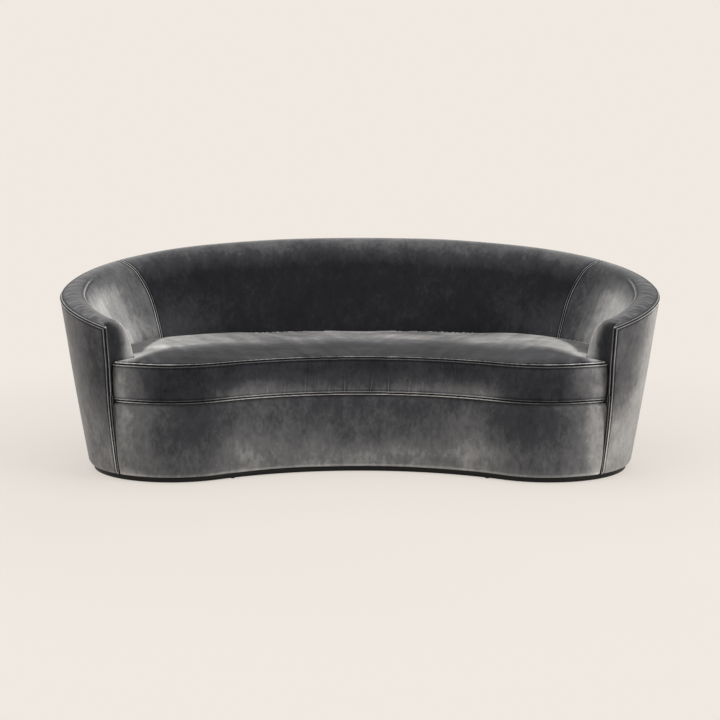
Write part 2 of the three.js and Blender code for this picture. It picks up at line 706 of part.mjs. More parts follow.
function buildWall() {
  const seamFrom = (q, z) => -innerSeam(z);
  const seamTo = (q, z) => innerSeam(z);
  add("back_foam", swept(-PANEL_SEAM, PANEL_SEAM, foamSection, seamFrom, seamTo), FOAM);
  addPair("arm_foam", armFoam, FOAM);
  add("inside_back", swept(-PANEL_SEAM, PANEL_SEAM, coverSection, seamFrom, seamTo), VELVET);
  addPair("inside_arm", armCover, VELVET);
  const outsidePanel = (s) => block(outside, within(OUTER_PANEL), FOOT, rimHeight(s) - COVER - FIT);
  add("outside_back", swept(-PANEL_SEAM, PANEL_SEAM, outsidePanel), VELVET);
  addPair("outside_arm", (sign) =>
    sweptOn(sign, PANEL_SEAM + FIT, LIP_FOOT, outsidePanel, undefined, (q, z) => lipEdge(z)), VELVET);
  const web = (s) => block(within(POST_BACK + FIT), within(WEB_BACK), DECK_HEIGHT + FIT,
    rimHeight(s) - TOP_RAIL_DROP);
  add("back_webbing", swept(-PANEL_SEAM, PANEL_SEAM, web), JUTE);
  addPair("arm_liner", (sign) => sweptOn(sign, PANEL_SEAM + FIT, ARM_END - COVER - FIT, web), JUTE);
}

// The front border: velvet over foam, folded back over the edge of the deck
function borderSkin(s) {
  const radius = BORDER_EDGE_RADIUS;
  const shoulder = DECK_HEIGHT - radius;
  const spread = flare(s, BORDER_FLARE);
  const path = [[0, FOOT]];
  for (const share of [1 / 3, 2 / 3]) {
    path.push([BORDER_BULGE + spread * share, lerp(FOOT, shoulder, share)]);
  }
  for (let i = 0; i <= 3; i++) {
    const angle = (Math.PI * i) / 6;
    path.push([spread - radius * (1 - Math.cos(angle)), shoulder + radius * Math.sin(angle)]);
  }
  path.push([-BORDER_FOLD, DECK_HEIGHT]);
  return path;
}

// The border runs from arm to arm, and the feet of the outside panels are cut out of its ends
function borderPiece(polygon) {
  const from = ARM_END + FIT;
  let solid = solidOf(swept(from, 2 * FRONT_MIDDLE - from, polygon));
  const panel = () => block(within(-OVERRUN), within(OUTER_PANEL + EDGE_GAP), GLIDE_HEIGHT, DECK_HEIGHT);
  const start = ARM_END - OVERRUN;
  const end = (q, z) => lipEdge(z) + EDGE_GAP;
  for (const sign of [1, -1]) {
    solid = solid.subtract(solidOf(sweptOn(sign, start, LIP_FOOT, panel, () => start, end)));
  }
  return meshOf(solid);
}

function buildFrontBorder() {
  add("front_border", borderPiece((s) => {
    const outer = borderSkin(s);
    const under = inset(outer, COVER);
    under[0] = [-COVER, FOOT];
    under[under.length - 1] = [-BORDER_FOLD, DECK_HEIGHT - COVER];
    return [...outer, ...under.reverse()];
  }), VELVET);
  add("front_border_foam", borderPiece((s) => {
    const under = inset(borderSkin(s), COVER + FIT);
    under[0] = [-COVER - FIT, FOOT];
    under[under.length - 1] = [-BORDER_FOLD, DECK_HEIGHT - COVER - FIT];
    const ledge = DECK_HEIGHT - COVER - FIT - BORDER_EDGE_FOAM;
    const back = -BORDER_RAIL_FACE + FIT;
    return [...under, [-BORDER_FOLD, ledge], [back, ledge], [back, FOOT]];
  }), FOAM);
}

// The seat cushion fills the plan inside the wall and spreads into an ear in front of each arm.
// Its outline at a level is two chains of points, front and back, that meet at the tips of the ears.
function cushionChains(z, shrink) {
  const ear = ARM_END + EAR_GAP + shrink;
  const frontOffset = CUSHION_PROUD - shrink;
  const wallOffset = outside(z) - WALL_THICKNESS - CUSHION_GAP - shrink;
  const corner = at(ear, wallOffset, 0);
  const seatFrom = placeAt(corner.x - EAR_REACH, frontOffset, ARM_END, FRONT_MIDDLE);
  const front = [];
  const back = [];
  for (let i = 0; i <= EAR_STRIPS; i++) {
    const share = i / EAR_STRIPS;
    const place = lerp(ear, seatFrom, share);
    front.push(at(place, frontOffset + flare(place, EAR_FLARE), z));
    back.push(at(ear, lerp(frontOffset + flare(ear, EAR_FLARE), wallOffset, share), z));
  }
  for (let i = 1; i <= SEAT_STRIPS; i++) {
    const share = i / SEAT_STRIPS;
    front.push(at(lerp(seatFrom, FRONT_MIDDLE, share), frontOffset, z));
    back.push(at(lerp(ear, 0, share), wallOffset, z));
  }
  const mirror = (list) => [...list, ...list.slice(0, -1).reverse().map((p) => p.clone().setX(-p.x))];
  return { front: mirror(front), back: mirror(back) };
}

// Rounds the tips where the two chains meet
function cushionLevel(z, shrink) {
  const { front, back } = cushionChains(z, shrink);
  const last = front.length - 1;
  for (const [tip, next] of [[0, 1], [last, last - 1]]) {
    const middle = front[tip].clone();
    const along = front[next].clone().sub(middle).setLength(EAR_CORNER);
    const across = back[next].clone().sub(middle).setLength(EAR_CORNER);
    front[tip] = middle.clone().add(along);
    back[tip] = middle.clone().add(across);
  }
  return { front, back };
}

function cushionSolid(shrink) {
  const low = DECK_HEIGHT + FIT + shrink;
  const lowerSeam = DECK_HEIGHT + LOWER_SEAM;
  const levels = [
    cushionLevel(low, shrink + BOTTOM_INSET),
    cushionLevel(lowerSeam, shrink),
    cushionLevel((lowerSeam + SEAM_HEIGHT) / 2, shrink - BOXING_BULGE / 2),
    cushionLevel(SEAM_HEIGHT, shrink),
  ];
  const points = [];
  const index = [];
  const count = levels[0].front.length;
  const ring = 2 * count;
  for (const { front, back } of levels) points.push(...front, ...back.slice().reverse());
  for (let k = 0; k + 1 < levels.length; k++) {
    for (let j = 0; j < ring; j++) {
      const a = k * ring + j;
      const b = k * ring + ((j + 1) % ring);
      index.push(a, b, a + ring, b, b + ring, a + ring);
    }
  }
  for (let i = 0; i + 1 < count; i++) {
    const a = i;
    const b = i + 1;
    const c = ring - 1 - i;
    const d = ring - 2 - i;
    index.push(a, c, b, b, c, d);
  }
  crownTriangles(levels.at(-1), (levels.length - 1) * ring, points, index, shrink);
  return facingOut(geometryOf(points, index));
}

// The crowned top: strips from front to back that rise with the distance from the outline
function crownTriangles({ front, back }, base, points, index, shrink) {
  const last = front.length - 1;
  const backTip = base + 2 * last + 1;
  const rows = [front.map((p, i) => base + i)];
  for (let r = 1; r < CROSS_STRIPS; r++) {
    const share = (1 - Math.cos((Math.PI * r) / CROSS_STRIPS)) / 2;
    const atFront = share < 0.5;
    rows.push(front.map((p, i) => {
      if (i === 0) return atFront ? base : backTip;
      if (i === last) return atFront ? base + last : base + last + 1;
      const point = p.clone().lerp(back[i], share);
      const edge = Math.min(share, 1 - share) * p.distanceTo(back[i]);
      const tip = Math.min(p.distanceTo(front[0]), p.distanceTo(front[last]));
      const rise = 1 - Math.exp((-2 * Math.min(edge, tip)) / CROWN_REACH);
      point.z += (CUSHION_CROWN - shrink / 2) * rise;
      points.push(point);
      return points.length - 1;
    }));
  }
  rows.push(back.map((p, i) => backTip - i));
  for (let r = 0; r + 1 < rows.length; r++) {
    for (let i = 0; i < last; i++) {
      const [a, b, c, d] = [rows[r][i], rows[r][i + 1], rows[r + 1][i], rows[r + 1][i + 1]];
      if (a !== c) index.push(a, b, c);
      if (b !== d) index.push(b, d, c);
    }
  }
}

function buildCushion() {
  const cushion = new THREE.Group();
  sofa.add(cushion);
  const whole = solidOf(cushionSolid(0));
  const hollow = solidOf(cushionSolid(CUSHION_SKIN));
  const zip = new THREE.BoxGeometry(ZIP_LENGTH, WALL_THICKNESS, ZIP_HEIGHT);
  const middle = (DECK_HEIGHT + LOWER_SEAM + SEAM_HEIGHT) / 2;
  const backFace = at(0, outside(middle) - WALL_THICKNESS, middle);
  zip.translate(backFace.x, backFace.y, backFace.z);
  const cover = whole.subtract(hollow).subtract(solidOf(zip));
  add("cushion_cover", meshOf(cover), VELVET, cushion);
  add("cushion_core", cushionSolid(CUSHION_SKIN + CORE_GAP), FOAM, cushion);
}

buildPlinth();
buildGlides();
buildBase();
buildRails();
buildPosts();
buildSprings();
buildDeck();
buildWall();
buildFrontBorder();
buildCushion();

// Bring the middle of the sofa over the origin
const bounds = new THREE.Box3().setFromObject(sofa, true);
sofa.position.y = -(bounds.min.y + bounds.max.y) / 2;
sofa.updateMatrixWorld(true);

export default sofa;
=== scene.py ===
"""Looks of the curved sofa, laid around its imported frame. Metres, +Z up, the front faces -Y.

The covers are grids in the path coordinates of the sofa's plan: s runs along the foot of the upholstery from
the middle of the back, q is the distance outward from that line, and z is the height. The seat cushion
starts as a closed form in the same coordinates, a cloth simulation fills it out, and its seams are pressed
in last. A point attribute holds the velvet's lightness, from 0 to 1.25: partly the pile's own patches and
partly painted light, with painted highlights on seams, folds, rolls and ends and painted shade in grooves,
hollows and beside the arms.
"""
import contextlib
import itertools
import json
import math

import bmesh
import bpy
import numpy as np
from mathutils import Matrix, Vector
from mathutils.bvhtree import BVHTree
from mathutils.kdtree import KDTree


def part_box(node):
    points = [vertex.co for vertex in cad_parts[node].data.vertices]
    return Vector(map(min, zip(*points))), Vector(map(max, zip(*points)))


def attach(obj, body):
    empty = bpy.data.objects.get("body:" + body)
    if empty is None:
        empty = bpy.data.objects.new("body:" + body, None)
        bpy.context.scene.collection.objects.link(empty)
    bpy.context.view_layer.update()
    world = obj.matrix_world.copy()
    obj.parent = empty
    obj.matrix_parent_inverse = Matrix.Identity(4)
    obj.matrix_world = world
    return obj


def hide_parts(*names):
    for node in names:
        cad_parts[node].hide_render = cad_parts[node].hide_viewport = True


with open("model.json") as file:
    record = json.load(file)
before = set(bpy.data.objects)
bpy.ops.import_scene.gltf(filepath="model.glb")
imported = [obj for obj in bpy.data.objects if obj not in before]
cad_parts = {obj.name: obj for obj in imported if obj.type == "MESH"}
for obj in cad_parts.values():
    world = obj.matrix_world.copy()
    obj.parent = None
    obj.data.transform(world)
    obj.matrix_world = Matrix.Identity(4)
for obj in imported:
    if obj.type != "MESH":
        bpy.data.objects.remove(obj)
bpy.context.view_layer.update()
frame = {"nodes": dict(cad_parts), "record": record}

# Plan of the upholstery at its foot, as tangent arcs
BACK_RADIUS = 2.0
BACK_SWEEP = math.radians(16.5)
END_RADIUS = 0.64
END_SWEEP = math.radians(65)
CORNER_RADIUS = 0.335
HOLLOW_RADIUS = 0.98

# Heights
FOOT = 0.0238
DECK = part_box("deck_pad")[1].z
ARM_HEIGHT = 0.574
BACK_HEIGHT = 0.780
SEAT_SEAM = DECK + 0.145
LOWER_SEAM = DECK + 0.009

# The wall: back and arms
LEAN = math.radians(8.5)
WALL = 0.162
BACK_ROLL = 0.104
ARM_ROLL = 0.148
ROLL_CROWN = 0.012
ROLL_DROP = 0.066
CREST_SHARE = 0.42
RIM_POWER = 2.34
ROLL_POWER = 6
ROLL_SOFTNESS = 0.020  # over which the roll eases into the face below it
INNER_SEAM = (  # distance from the rim down the back, and how far the seam lies before PANEL_SEAM there
    (0, 0), (0.014, 0.018), (0.030, 0.032), (0.046, 0.039), (0.068, 0.037), (0.085, 0.029), (0.116, 0.009),
    (0.158, -0.014), (0.191, -0.025), (0.233, -0.033), (0.274, -0.035), (0.332, -0.032), (0.398, -0.028),
)
LIP_BLEND = 0.034
LIP_EDGE = 0.012
LIP_BOW = 0.006
LIP_ROUND = 0.020  # width of the lip's own front, inside its seam
LIP_SPREAD = 1.6  # how much wider the seam down the arm's front is on the front's side
SKIN = 0.0035  # thickness of the covers

# Front border
BORDER_FLARE = 0.020
BORDER_FOLD = 0.046
BORDER_EDGE = 0.018  # rounding of its top edge
BORDER_BULGE = 0.005
BORDER_END_ROUND = 0.007
HEM = 0.005  # rounding of the covers' lower edges

# Seat cushion
CUSHION_PROUD = 0.004
CUSHION_GAP = 0.005
EAR_GAP = 0.004
EAR_FLARE = 0.016
FLARE_REACH = 0.080
EAR_CORNER = 0.016
EAR_REACH = 0.150
CROWN = 0.006
EAR_CROWN = 0.022
BACK_SINK = 0.007  # how much lower the upper seam lies at the back
CROWN_REACH = 0.095
BOTTOM_INSET = 0.008
BOXING_BULGE = 0.003
LOWER_RIDGES = (0.50, 1.0)  # strength of the ridges above and below the cushion's lower seam
UPPER_RIDGES = (1.5, 0.65)
ZIP_LENGTH = 0.640
ZIP_SECTION = (  # height from the zip's middle, and how far each line stands off the cover
    (-0.0125, 0.0001), (-0.0115, 0.0008), (-0.0040, 0.0008), (-0.0022, 0.0008), (-0.0018, 0.0018),
    (0, 0.0023), (0.0018, 0.0018), (0.0022, 0.0008), (0.0040, 0.0008), (0.0115, 0.0008), (0.0125, 0.0001),
)

# A sewn edge: rows beside the seam, with the height at each and the painted light there: painted highlights on
# the ridges, painted shade in the grooves
SEAM_ROWS = (0, 0.0013, 0.0026, 0.0038, 0.0051, 0.0065, 0.0078, 0.0092, 0.0110, 0.0132, 0.0162, 0.020)
SEAM_RELIEF = (-0.0048, -0.0038, -0.0014, 0.0008, 0.0016, 0.0011, -0.0006, -0.0013, -0.0009, -0.0002, 0, 0)
SEAM_PAINTED_LIGHT = (-0.70, -0.70, -0.45, 0.22, 0.54, 0.30, -0.26, -0.36, -0.26, -0.10, 0, 0)
STITCH_LINE = 0.0092
STITCH_LENGTH = 0.0028
STITCH_PITCH = 0.0034
STITCH_RADIUS = 0.0003


def ramp(value, start, width):
    """0 at a start, and 1 from a width beyond it. A negative width makes it rise towards lower values."""
    return np.clip((value - start) / width, 0, 1)


def bell(value, centre, width):
    return np.exp(-(((value - centre) / width) ** 2))


def unit(vectors):
    return vectors / np.linalg.norm(vectors, axis=-1, keepdims=True)


def heading(angle):
    return np.stack([np.sin(angle), np.cos(angle)], axis=-1)


def plan_arcs():
    """The half plan: (centre, radius, first angle, last angle, first place, last place) of each arc."""
    turn_end = BACK_SWEEP + END_SWEEP
    back = np.array([0, -BACK_RADIUS])
    end = back + heading(BACK_SWEEP) * (BACK_RADIUS - END_RADIUS)
    corner = end + heading(turn_end) * (END_RADIUS - CORNER_RADIUS)
    reach = CORNER_RADIUS + HOLLOW_RADIUS
    hollow = np.array([0, corner[1] - math.sqrt(reach**2 - corner[0] ** 2)])
    turn_hollow = math.pi + math.asin(corner[0] / reach)
    arcs = []
    place = 0.0
    for centre, radius, first, last in (
        (back, BACK_RADIUS, 0, BACK_SWEEP),
        (end, END_RADIUS, BACK_SWEEP, turn_end),
        (corner, CORNER_RADIUS, turn_end, turn_hollow),
        (hollow, -HOLLOW_RADIUS, turn_hollow, math.pi),
    ):
        length = abs(radius * (last - first))
        arcs.append((centre, radius, first, last, place, place + length))
        place += length
    return arcs


ARCS = plan_arcs()
FRONT_MIDDLE = ARCS[-1][-1]


def along_at(degrees):
    """The place where the plan has turned this far from the middle of the back."""
    angle = math.radians(degrees)
    for centre, radius, first, last, start, stop in ARCS:
        if first <= angle <= last:
            return start + (stop - start) * (angle - first) / (last - first)
    raise ValueError(f"the plan has no heading of {degrees} degrees")


PANEL_SEAM = along_at(49)
ARM_END = along_at(141.8)
LIP_TOP = along_at(147.8)
LIP_FOOT = along_at(144.2)


def plan(s):
    """Points of the plan and its outward directions at places s."""
    s = np.asarray(s, float)
    along = np.abs(s)
    beyond = along > FRONT_MIDDLE
    along = np.clip(np.where(beyond, 2 * FRONT_MIDDLE - along, along), 0, FRONT_MIDDLE)
    side = np.where(beyond, -1.0, 1.0) * np.where(s < 0, -1.0, 1.0)
    point = np.zeros(s.shape + (2,))
    normal = np.zeros(s.shape + (2,))
    for centre, radius, first, last, start, stop in ARCS:
        on_arc = ((along >= start) & (along <= stop))[..., None]
        out = heading(first + (last - first) * (along - start) / (stop - start))
        normal = np.where(on_arc, out, normal)
        point = np.where(on_arc, centre + radius * out, point)
    point[..., 0] *= side
    normal[..., 0] *= side
    return point, normal


PLINTH_INSET = 0.018  # how far the plinth stands inside the plan
Y_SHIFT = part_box("plinth_back")[1].y + PLINTH_INSET


def at(s, q, z):
    """Points of the sofa in its own frame."""
    s, q, z = np.broadcast_arrays(np.asarray(s, float), q, z)
    point, normal = plan(s)
    flat = point + normal * q[..., None]
    return np.stack([flat[..., 0], flat[..., 1] + Y_SHIFT, z], axis=-1)


def outside(z):
    return (z - FOOT) * math.tan(LEAN)


def wall_share(s):
    return np.minimum(np.abs(s) / LIP_TOP, 1)


def rim_height(s):
    return BACK_HEIGHT - (BACK_HEIGHT - ARM_HEIGHT) * wall_share(s) ** RIM_POWER


def lip_edge(z):
    """The seam down the arm's front edge, which bows back a little between the foot and the seat."""
    bow = np.sin(math.pi * ramp(z, FOOT, SEAT_SEAM - FOOT))
    return LIP_FOOT + (LIP_TOP - LIP_FOOT) * (z - FOOT) / (ARM_HEIGHT - FOOT) - LIP_BOW * bow


def resampled(points, shares):
    """The points at these shares of a line's length."""
    steps = np.linalg.norm(np.diff(points, axis=0), axis=1)
    length = np.concatenate([[0], np.cumsum(steps)])
    where = np.asarray(shares) * length[-1]
    return np.stack([np.interp(where, length, column) for column in points.T], axis=1)


def smoothed(points, sigma):
    """A line softened by a bell curve, sigma samples wide, with both ends held."""
    reach = min(int(3 * sigma) + 1, len(points) - 1)
    weights = np.exp(-0.5 * (np.arange(-reach, reach + 1) / sigma) ** 2)
    weights /= weights.sum()
    head = 2 * points[0] - points[reach:0:-1]
    tail = 2 * points[-1] - points[-2 : -reach - 2 : -1]
    longer = np.concatenate([head, points, tail])
    return np.stack([np.convolve(column, weights, "valid") for column in longer.T], axis=1)


def seam_spacing(length, step, first=True, last=True):
    """Distances along a line, with close rows beside the ends that are sewn."""
    near = np.array(SEAM_ROWS)
    start = near if first else near[:1]
    stop = length - (near if last else near[:1])[::-1]
    count = max(2, math.ceil((stop[0] - start[-1]) / step))
    middle = np.linspace(start[-1], stop[0], count + 1)[1:-1]
    return np.concatenate([start, middle, stop])


def soft_noise(points, scale, seed=0):
    """Smooth noise from -1 to 1 with bumps about as wide as scale, the same on every run."""
    p = np.asarray(points) / scale + 31.7 * (seed + 1)
    cell = np.floor(p).astype(np.int64)
    share = p - cell
    share = share * share * (3 - 2 * share)
    total = np.zeros(p.shape[:-1])
    for corner in itertools.product((0, 1), repeat=3):
        c = cell + np.array(corner)
        value = (c[..., 0] * 374761393 + c[..., 1] * 668265263 + c[..., 2] * 1274126177) & 0xFFFFFFFF
        value = ((value ^ (value >> 13)) * 1103515245 + 12345) & 0x7FFFFFFF
        weight = np.prod(np.where(np.array(corner) == 1, share, 1 - share), axis=-1)
        total += weight * (value / 0x7FFFFFFF)
    return 2 * total - 1


def drawn_noise(a, b, c, seed):
    """Smooth noise over three measures, each already divided by the width of its bumps."""
    return soft_noise(np.stack(np.broadcast_arrays(a, b, c), axis=-1), 1.0, seed)


def waves(points, height, width, seed, distance, fade=0.05):
    """Low waves of a cover, which fade towards its seams."""
    return height * soft_noise(points, width, seed) * ramp(distance, 0, fade)


def bump_at(x, z, centre, reach, amount):
    """A soft spot of an attribute round a centre."""
    return amount * np.exp(-(((x - centre[0]) / reach[0]) ** 2) - ((z - centre[1]) / reach[1]) ** 2)


# The wall's section on a fine grid of places, which the covers read between
WALL_LENGTH = 0.5
TOP_BAND = 0.13  # of the section, on closer rows
WALL_SHARES = np.concatenate([
    seam_spacing(TOP_BAND, 0.0026, last=False),
    np.linspace(TOP_BAND, WALL_LENGTH, 50)[1:],
]) / WALL_LENGTH
WALL_PLACES = np.linspace(0, LIP_TOP, 460)
ARM_PLUMPNESS = 0.026  # of the roll's inner side at the arm's front


def wall_profile(s):
    """The inner cover's section at one place: from the rim seam over the roll and down to the deck."""
    rim = rim_height(s)
    edge = outside(rim)
    width = BACK_ROLL + (ARM_ROLL - BACK_ROLL) * wall_share(s) ** ROLL_POWER
    crest = CREST_SHARE * width
    share = np.linspace(0, 1, 40)
    outer = np.stack([edge - crest * share, rim + ROLL_CROWN * (1 - (1 - share) ** 2.2)], axis=1)
    angle = share[1:] * math.pi / 2
    drop = (ROLL_CROWN + ROLL_DROP) * (1 - np.cos(angle))
    inner = np.stack([edge - crest - (width - crest) * np.sin(angle), rim + ROLL_CROWN - drop], axis=1)
    face = np.array([[outside(SEAT_SEAM) - WALL, SEAT_SEAM], [outside(DECK) - WALL, DECK + 0.0003]])
    line = resampled(np.concatenate([outer, inner, face]), np.linspace(0, 1, 240))
    plump = ARM_PLUMPNESS * min(abs(s) / ARM_END, 1) ** 7
    line[:, 0] -= plump * bell(line[:, 1], rim - 0.075, 0.075) * (line[:, 0] < edge - crest)
    return resampled(smoothed(line, ROLL_SOFTNESS * 240 / WALL_LENGTH), WALL_SHARES)


WALL_GRID = np.array([wall_profile(s) for s in WALL_PLACES])
SECTION_LENGTHS = np.linalg.norm(np.diff(WALL_GRID, axis=1), axis=-1).sum(axis=1)


def wall_section(s, row):
    """Distance outward and height of the inner cover at places s, on one row of the section."""
    along = np.abs(s)
    q = np.interp(along, WALL_PLACES, WALL_GRID[:, row, 0])
    z = np.interp(along, WALL_PLACES, WALL_GRID[:, row, 1])
    return q, z


def seam_place(row):
    """Where the seam between back and arm crosses a row of the section."""
    down, shift = np.array(INNER_SEAM).T
    length = np.interp(PANEL_SEAM, WALL_PLACES, SECTION_LENGTHS)
    near = WALL_SHARES[row] * length + np.linspace(-0.014, 0.014, 9)
    return PANEL_SEAM + float(np.interp(np.maximum(near, 0), down, shift).mean()) * min(row / 4, 1)


# Mesh building
def quads(rows, columns, first=0):
    """Faces of a grid of points, row by row."""
    i, j = np.meshgrid(np.arange(rows - 1), np.arange(columns - 1), indexing="ij")
    a = first + (i * columns + j).ravel()
    return np.stack([a, a + 1, a + columns + 1, a + columns], axis=1)


def make_object(name, points, faces, material, pile_and_painted_light=None):
    mesh = bpy.data.meshes.new(name)
    mesh.from_pydata(np.asarray(points).tolist(), [], [list(map(int, f)) for f in faces])
    mesh.materials.append(material)
    if pile_and_painted_light is not None:
        # The velvet's lightness: the pile's own patches and painted light together.
        mesh.attributes.new("pile_and_painted_light", "FLOAT", "POINT").data.foreach_set("value", pile_and_painted_light.astype(np.float32))
    mesh.polygons.foreach_set("use_smooth", np.ones(len(mesh.polygons), bool))
    mesh.set_sharp_from_angle(angle=math.radians(70))
    mesh.update()
    made = bpy.data.objects.new(name, mesh)
    bpy.context.scene.collection.objects.link(made)
    return made


def grid_normals(grid, towards):
    """Unit normals of a grid of points, on the side that faces a direction, and 1 or -1 where that turned
    them. Cells without an area take the normals beside them."""
    normals = np.cross(np.gradient(grid, axis=0), np.gradient(grid, axis=1))
    length = np.linalg.norm(normals, axis=-1, keepdims=True)
    normals = np.where(length > 1e-11, normals / np.maximum(length, 1e-11), 0)
    for _ in range(40):
        empty = np.linalg.norm(normals, axis=-1) < 0.5
        if not empty.any():
            break
        beside = sum(np.roll(normals, shift, axis) for shift in (-1, 1) for axis in (0, 1))
        beside /= np.maximum(np.linalg.norm(beside, axis=-1, keepdims=True), 1e-11)
        normals[empty] = beside[empty]
    facing = np.sign((normals @ np.asarray(towards, float)).sum())
    return normals * facing, facing


def shell_parts(grid, towards, relief=0.0, turns=(), thickness=SKIN):
    """Points and faces of a closed sheet: a grid raised by its relief, and its back, a thickness below. The
    relief follows the surface's normals, which each turn bends towards a direction close to its seam."""
    normals, facing = grid_normals(grid, towards)
    pull = normals
    for distance, direction in turns:
        pull = turned(pull, distance, direction)
    outer = grid + pull * np.broadcast_to(relief, grid.shape[:2])[..., None]
    inner = outer - normals * thickness
    rows, columns = grid.shape[:2]
    count = rows * columns
    index = np.arange(count).reshape(rows, columns)
    loop = np.concatenate([index[0, :-1], index[:-1, -1], index[-1, :0:-1], index[:0:-1, 0]])
    after = np.roll(loop, -1)
    rim = np.stack([after, loop, loop + count, after + count], axis=1)
    faces = np.concatenate([quads(rows, columns), quads(rows, columns, count)[:, ::-1], rim])
    if facing < 0:
        faces = faces[:, ::-1]
    return np.concatenate([outer.reshape(-1, 3), inner.reshape(-1, 3)]), faces


def sewn(distance):
    """Relief at a distance from a seam, and its painted light: painted highlights on the ridges, painted shade
    in the grooves.
    """
    return np.interp(distance, SEAM_ROWS, SEAM_RELIEF), np.interp(distance, SEAM_ROWS, SEAM_PAINTED_LIGHT)


def turned(normals, distance, direction):
    """Directions that turn from the surface's own to a seam's, close to the seam."""
    share = np.clip(1 - distance / 0.004, 0, 1)[..., None]
    return unit(normals * (1 - share) + direction * share)


def shell(name, sheets, replaced, material=None):
    """One padded object in the place of the sofa's nodes. Each sheet is its points, faces and the velvet's
    lightness, painted light included.
    """
    points, faces, pile_and_painted_lights = [], [], []
    count = 0
    for sheet_points, sheet_faces, pile_and_painted_light in sheets:
        points.append(sheet_points)
        faces.append(sheet_faces + count)
        count += len(sheet_points)
        pile_and_painted_lights.append(np.tile(np.asarray(pile_and_painted_light).ravel(), 2))
    points, faces, pile_and_painted_lights = (np.concatenate(values) for values in (points, faces, pile_and_painted_lights))
    return settle(make_object(name, points, faces, material or VELVET, pile_and_painted_lights), "sofa", replaced)


def settle(piece, body, replaced=()):
    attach(piece, body)
    if replaced:
        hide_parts(*replaced)
    return piece


# Materials
def new_material(name, roughness=0.8, specular=0.3, metallic=0.0):
    material = bpy.data.materials.new(name)
    material.use_nodes = True
    shader = material.node_tree.nodes["Principled BSDF"]
    shader.inputs["Roughness"].default_value = roughness
    shader.inputs["Specular IOR Level"].default_value = specular
    shader.inputs["Metallic"].default_value = metallic
    return material


def node(material, kind, values=None, **settings):
    made = material.node_tree.nodes.new(kind)
    for key, value in settings.items():
        setattr(made, key, value)
    for key, value in (values or {}).items():
        made.inputs[key].default_value = value
    return made


def link(material, source, output, target, socket):
    material.node_tree.links.new(source.outputs[output], target.inputs[socket])


def shader_of(material):
    return material.node_tree.nodes["Principled BSDF"]


def noise_on(material, scale, detail=3, stretch=(1, 1, 1), roughness=0.5, distortion=0.0):
    """A noise texture in the object's own metres, which can be drawn out along an axis."""
    place = node(material, "ShaderNodeTexCoord")
    mapping = node(material, "ShaderNodeMapping", {"Scale": stretch})
    link(material, place, "Object", mapping, "Vector")
    values = {"Scale": scale, "Detail": detail, "Roughness": roughness, "Distortion": distortion}
    texture = node(material, "ShaderNodeTexNoise", values)
    link(material, mapping, "Vector", texture, "Vector")
    return texture


def coloured(material, source, output, stops, roughness=None):
    """Colours a material by a ramp on a node's output, which its roughness can follow over a range."""
    ramp_node = node(material, "ShaderNodeValToRGB")
    elements = ramp_node.color_ramp.elements
    while len(elements) < len(stops):
        elements.new(0.5)
    for element, (place, colour) in zip(elements, stops):
        element.position = place
        element.color = (*colour, 1)
    link(material, source, output, ramp_node, "Fac")
    link(material, ramp_node, "Color", shader_of(material), "Base Color")
    if roughness:
        rough = node(material, "ShaderNodeMapRange", {"To Min": roughness[0], "To Max": roughness[1]})
        link(material, source, output, rough, "Value")
        link(material, rough, "Result", shader_of(material), "Roughness")


def bump_on(material, texture, output, strength, distance, below=None):
    bump = node(material, "ShaderNodeBump", {"Strength": strength, "Distance": distance})
    link(material, texture, output, bump, "Height")
    if below is not None:
        link(material, below, "Normal", bump, "Normal")
    link(material, bump, "Normal", shader_of(material), "Normal")
    return bump


def weighted_sum(material, terms, start):
    """A value node chain: start plus each output times its weight."""
    total = node(material, "ShaderNodeValue")
    total.outputs[0].default_value = start
    source, output = total, 0
    for texture, name, weight in terms:
        step = node(material, "ShaderNodeMath", {1: weight}, operation="MULTIPLY_ADD")
        link(material, texture, name, step, 0)
        link(material, source, output, step, 2)
        source, output = step, 0
    return source


VELVET_SPAN = 1.25  # lightness of the velvet, painted light included, at the end of the ramp
VELVET_TONES = (
    (0.00 / VELVET_SPAN, (0.0036, 0.0038, 0.0048)),
    (0.25 / VELVET_SPAN, (0.0110, 0.0114, 0.0138)),
    (0.50 / VELVET_SPAN, (0.0365, 0.0367, 0.0410)),
    (0.75 / VELVET_SPAN, (0.1190, 0.1185, 0.1200)),
    (1.00 / VELVET_SPAN, (0.3350, 0.3280, 0.3200)),
    (1.25 / VELVET_SPAN, (0.6400, 0.6300, 0.6150)),
)


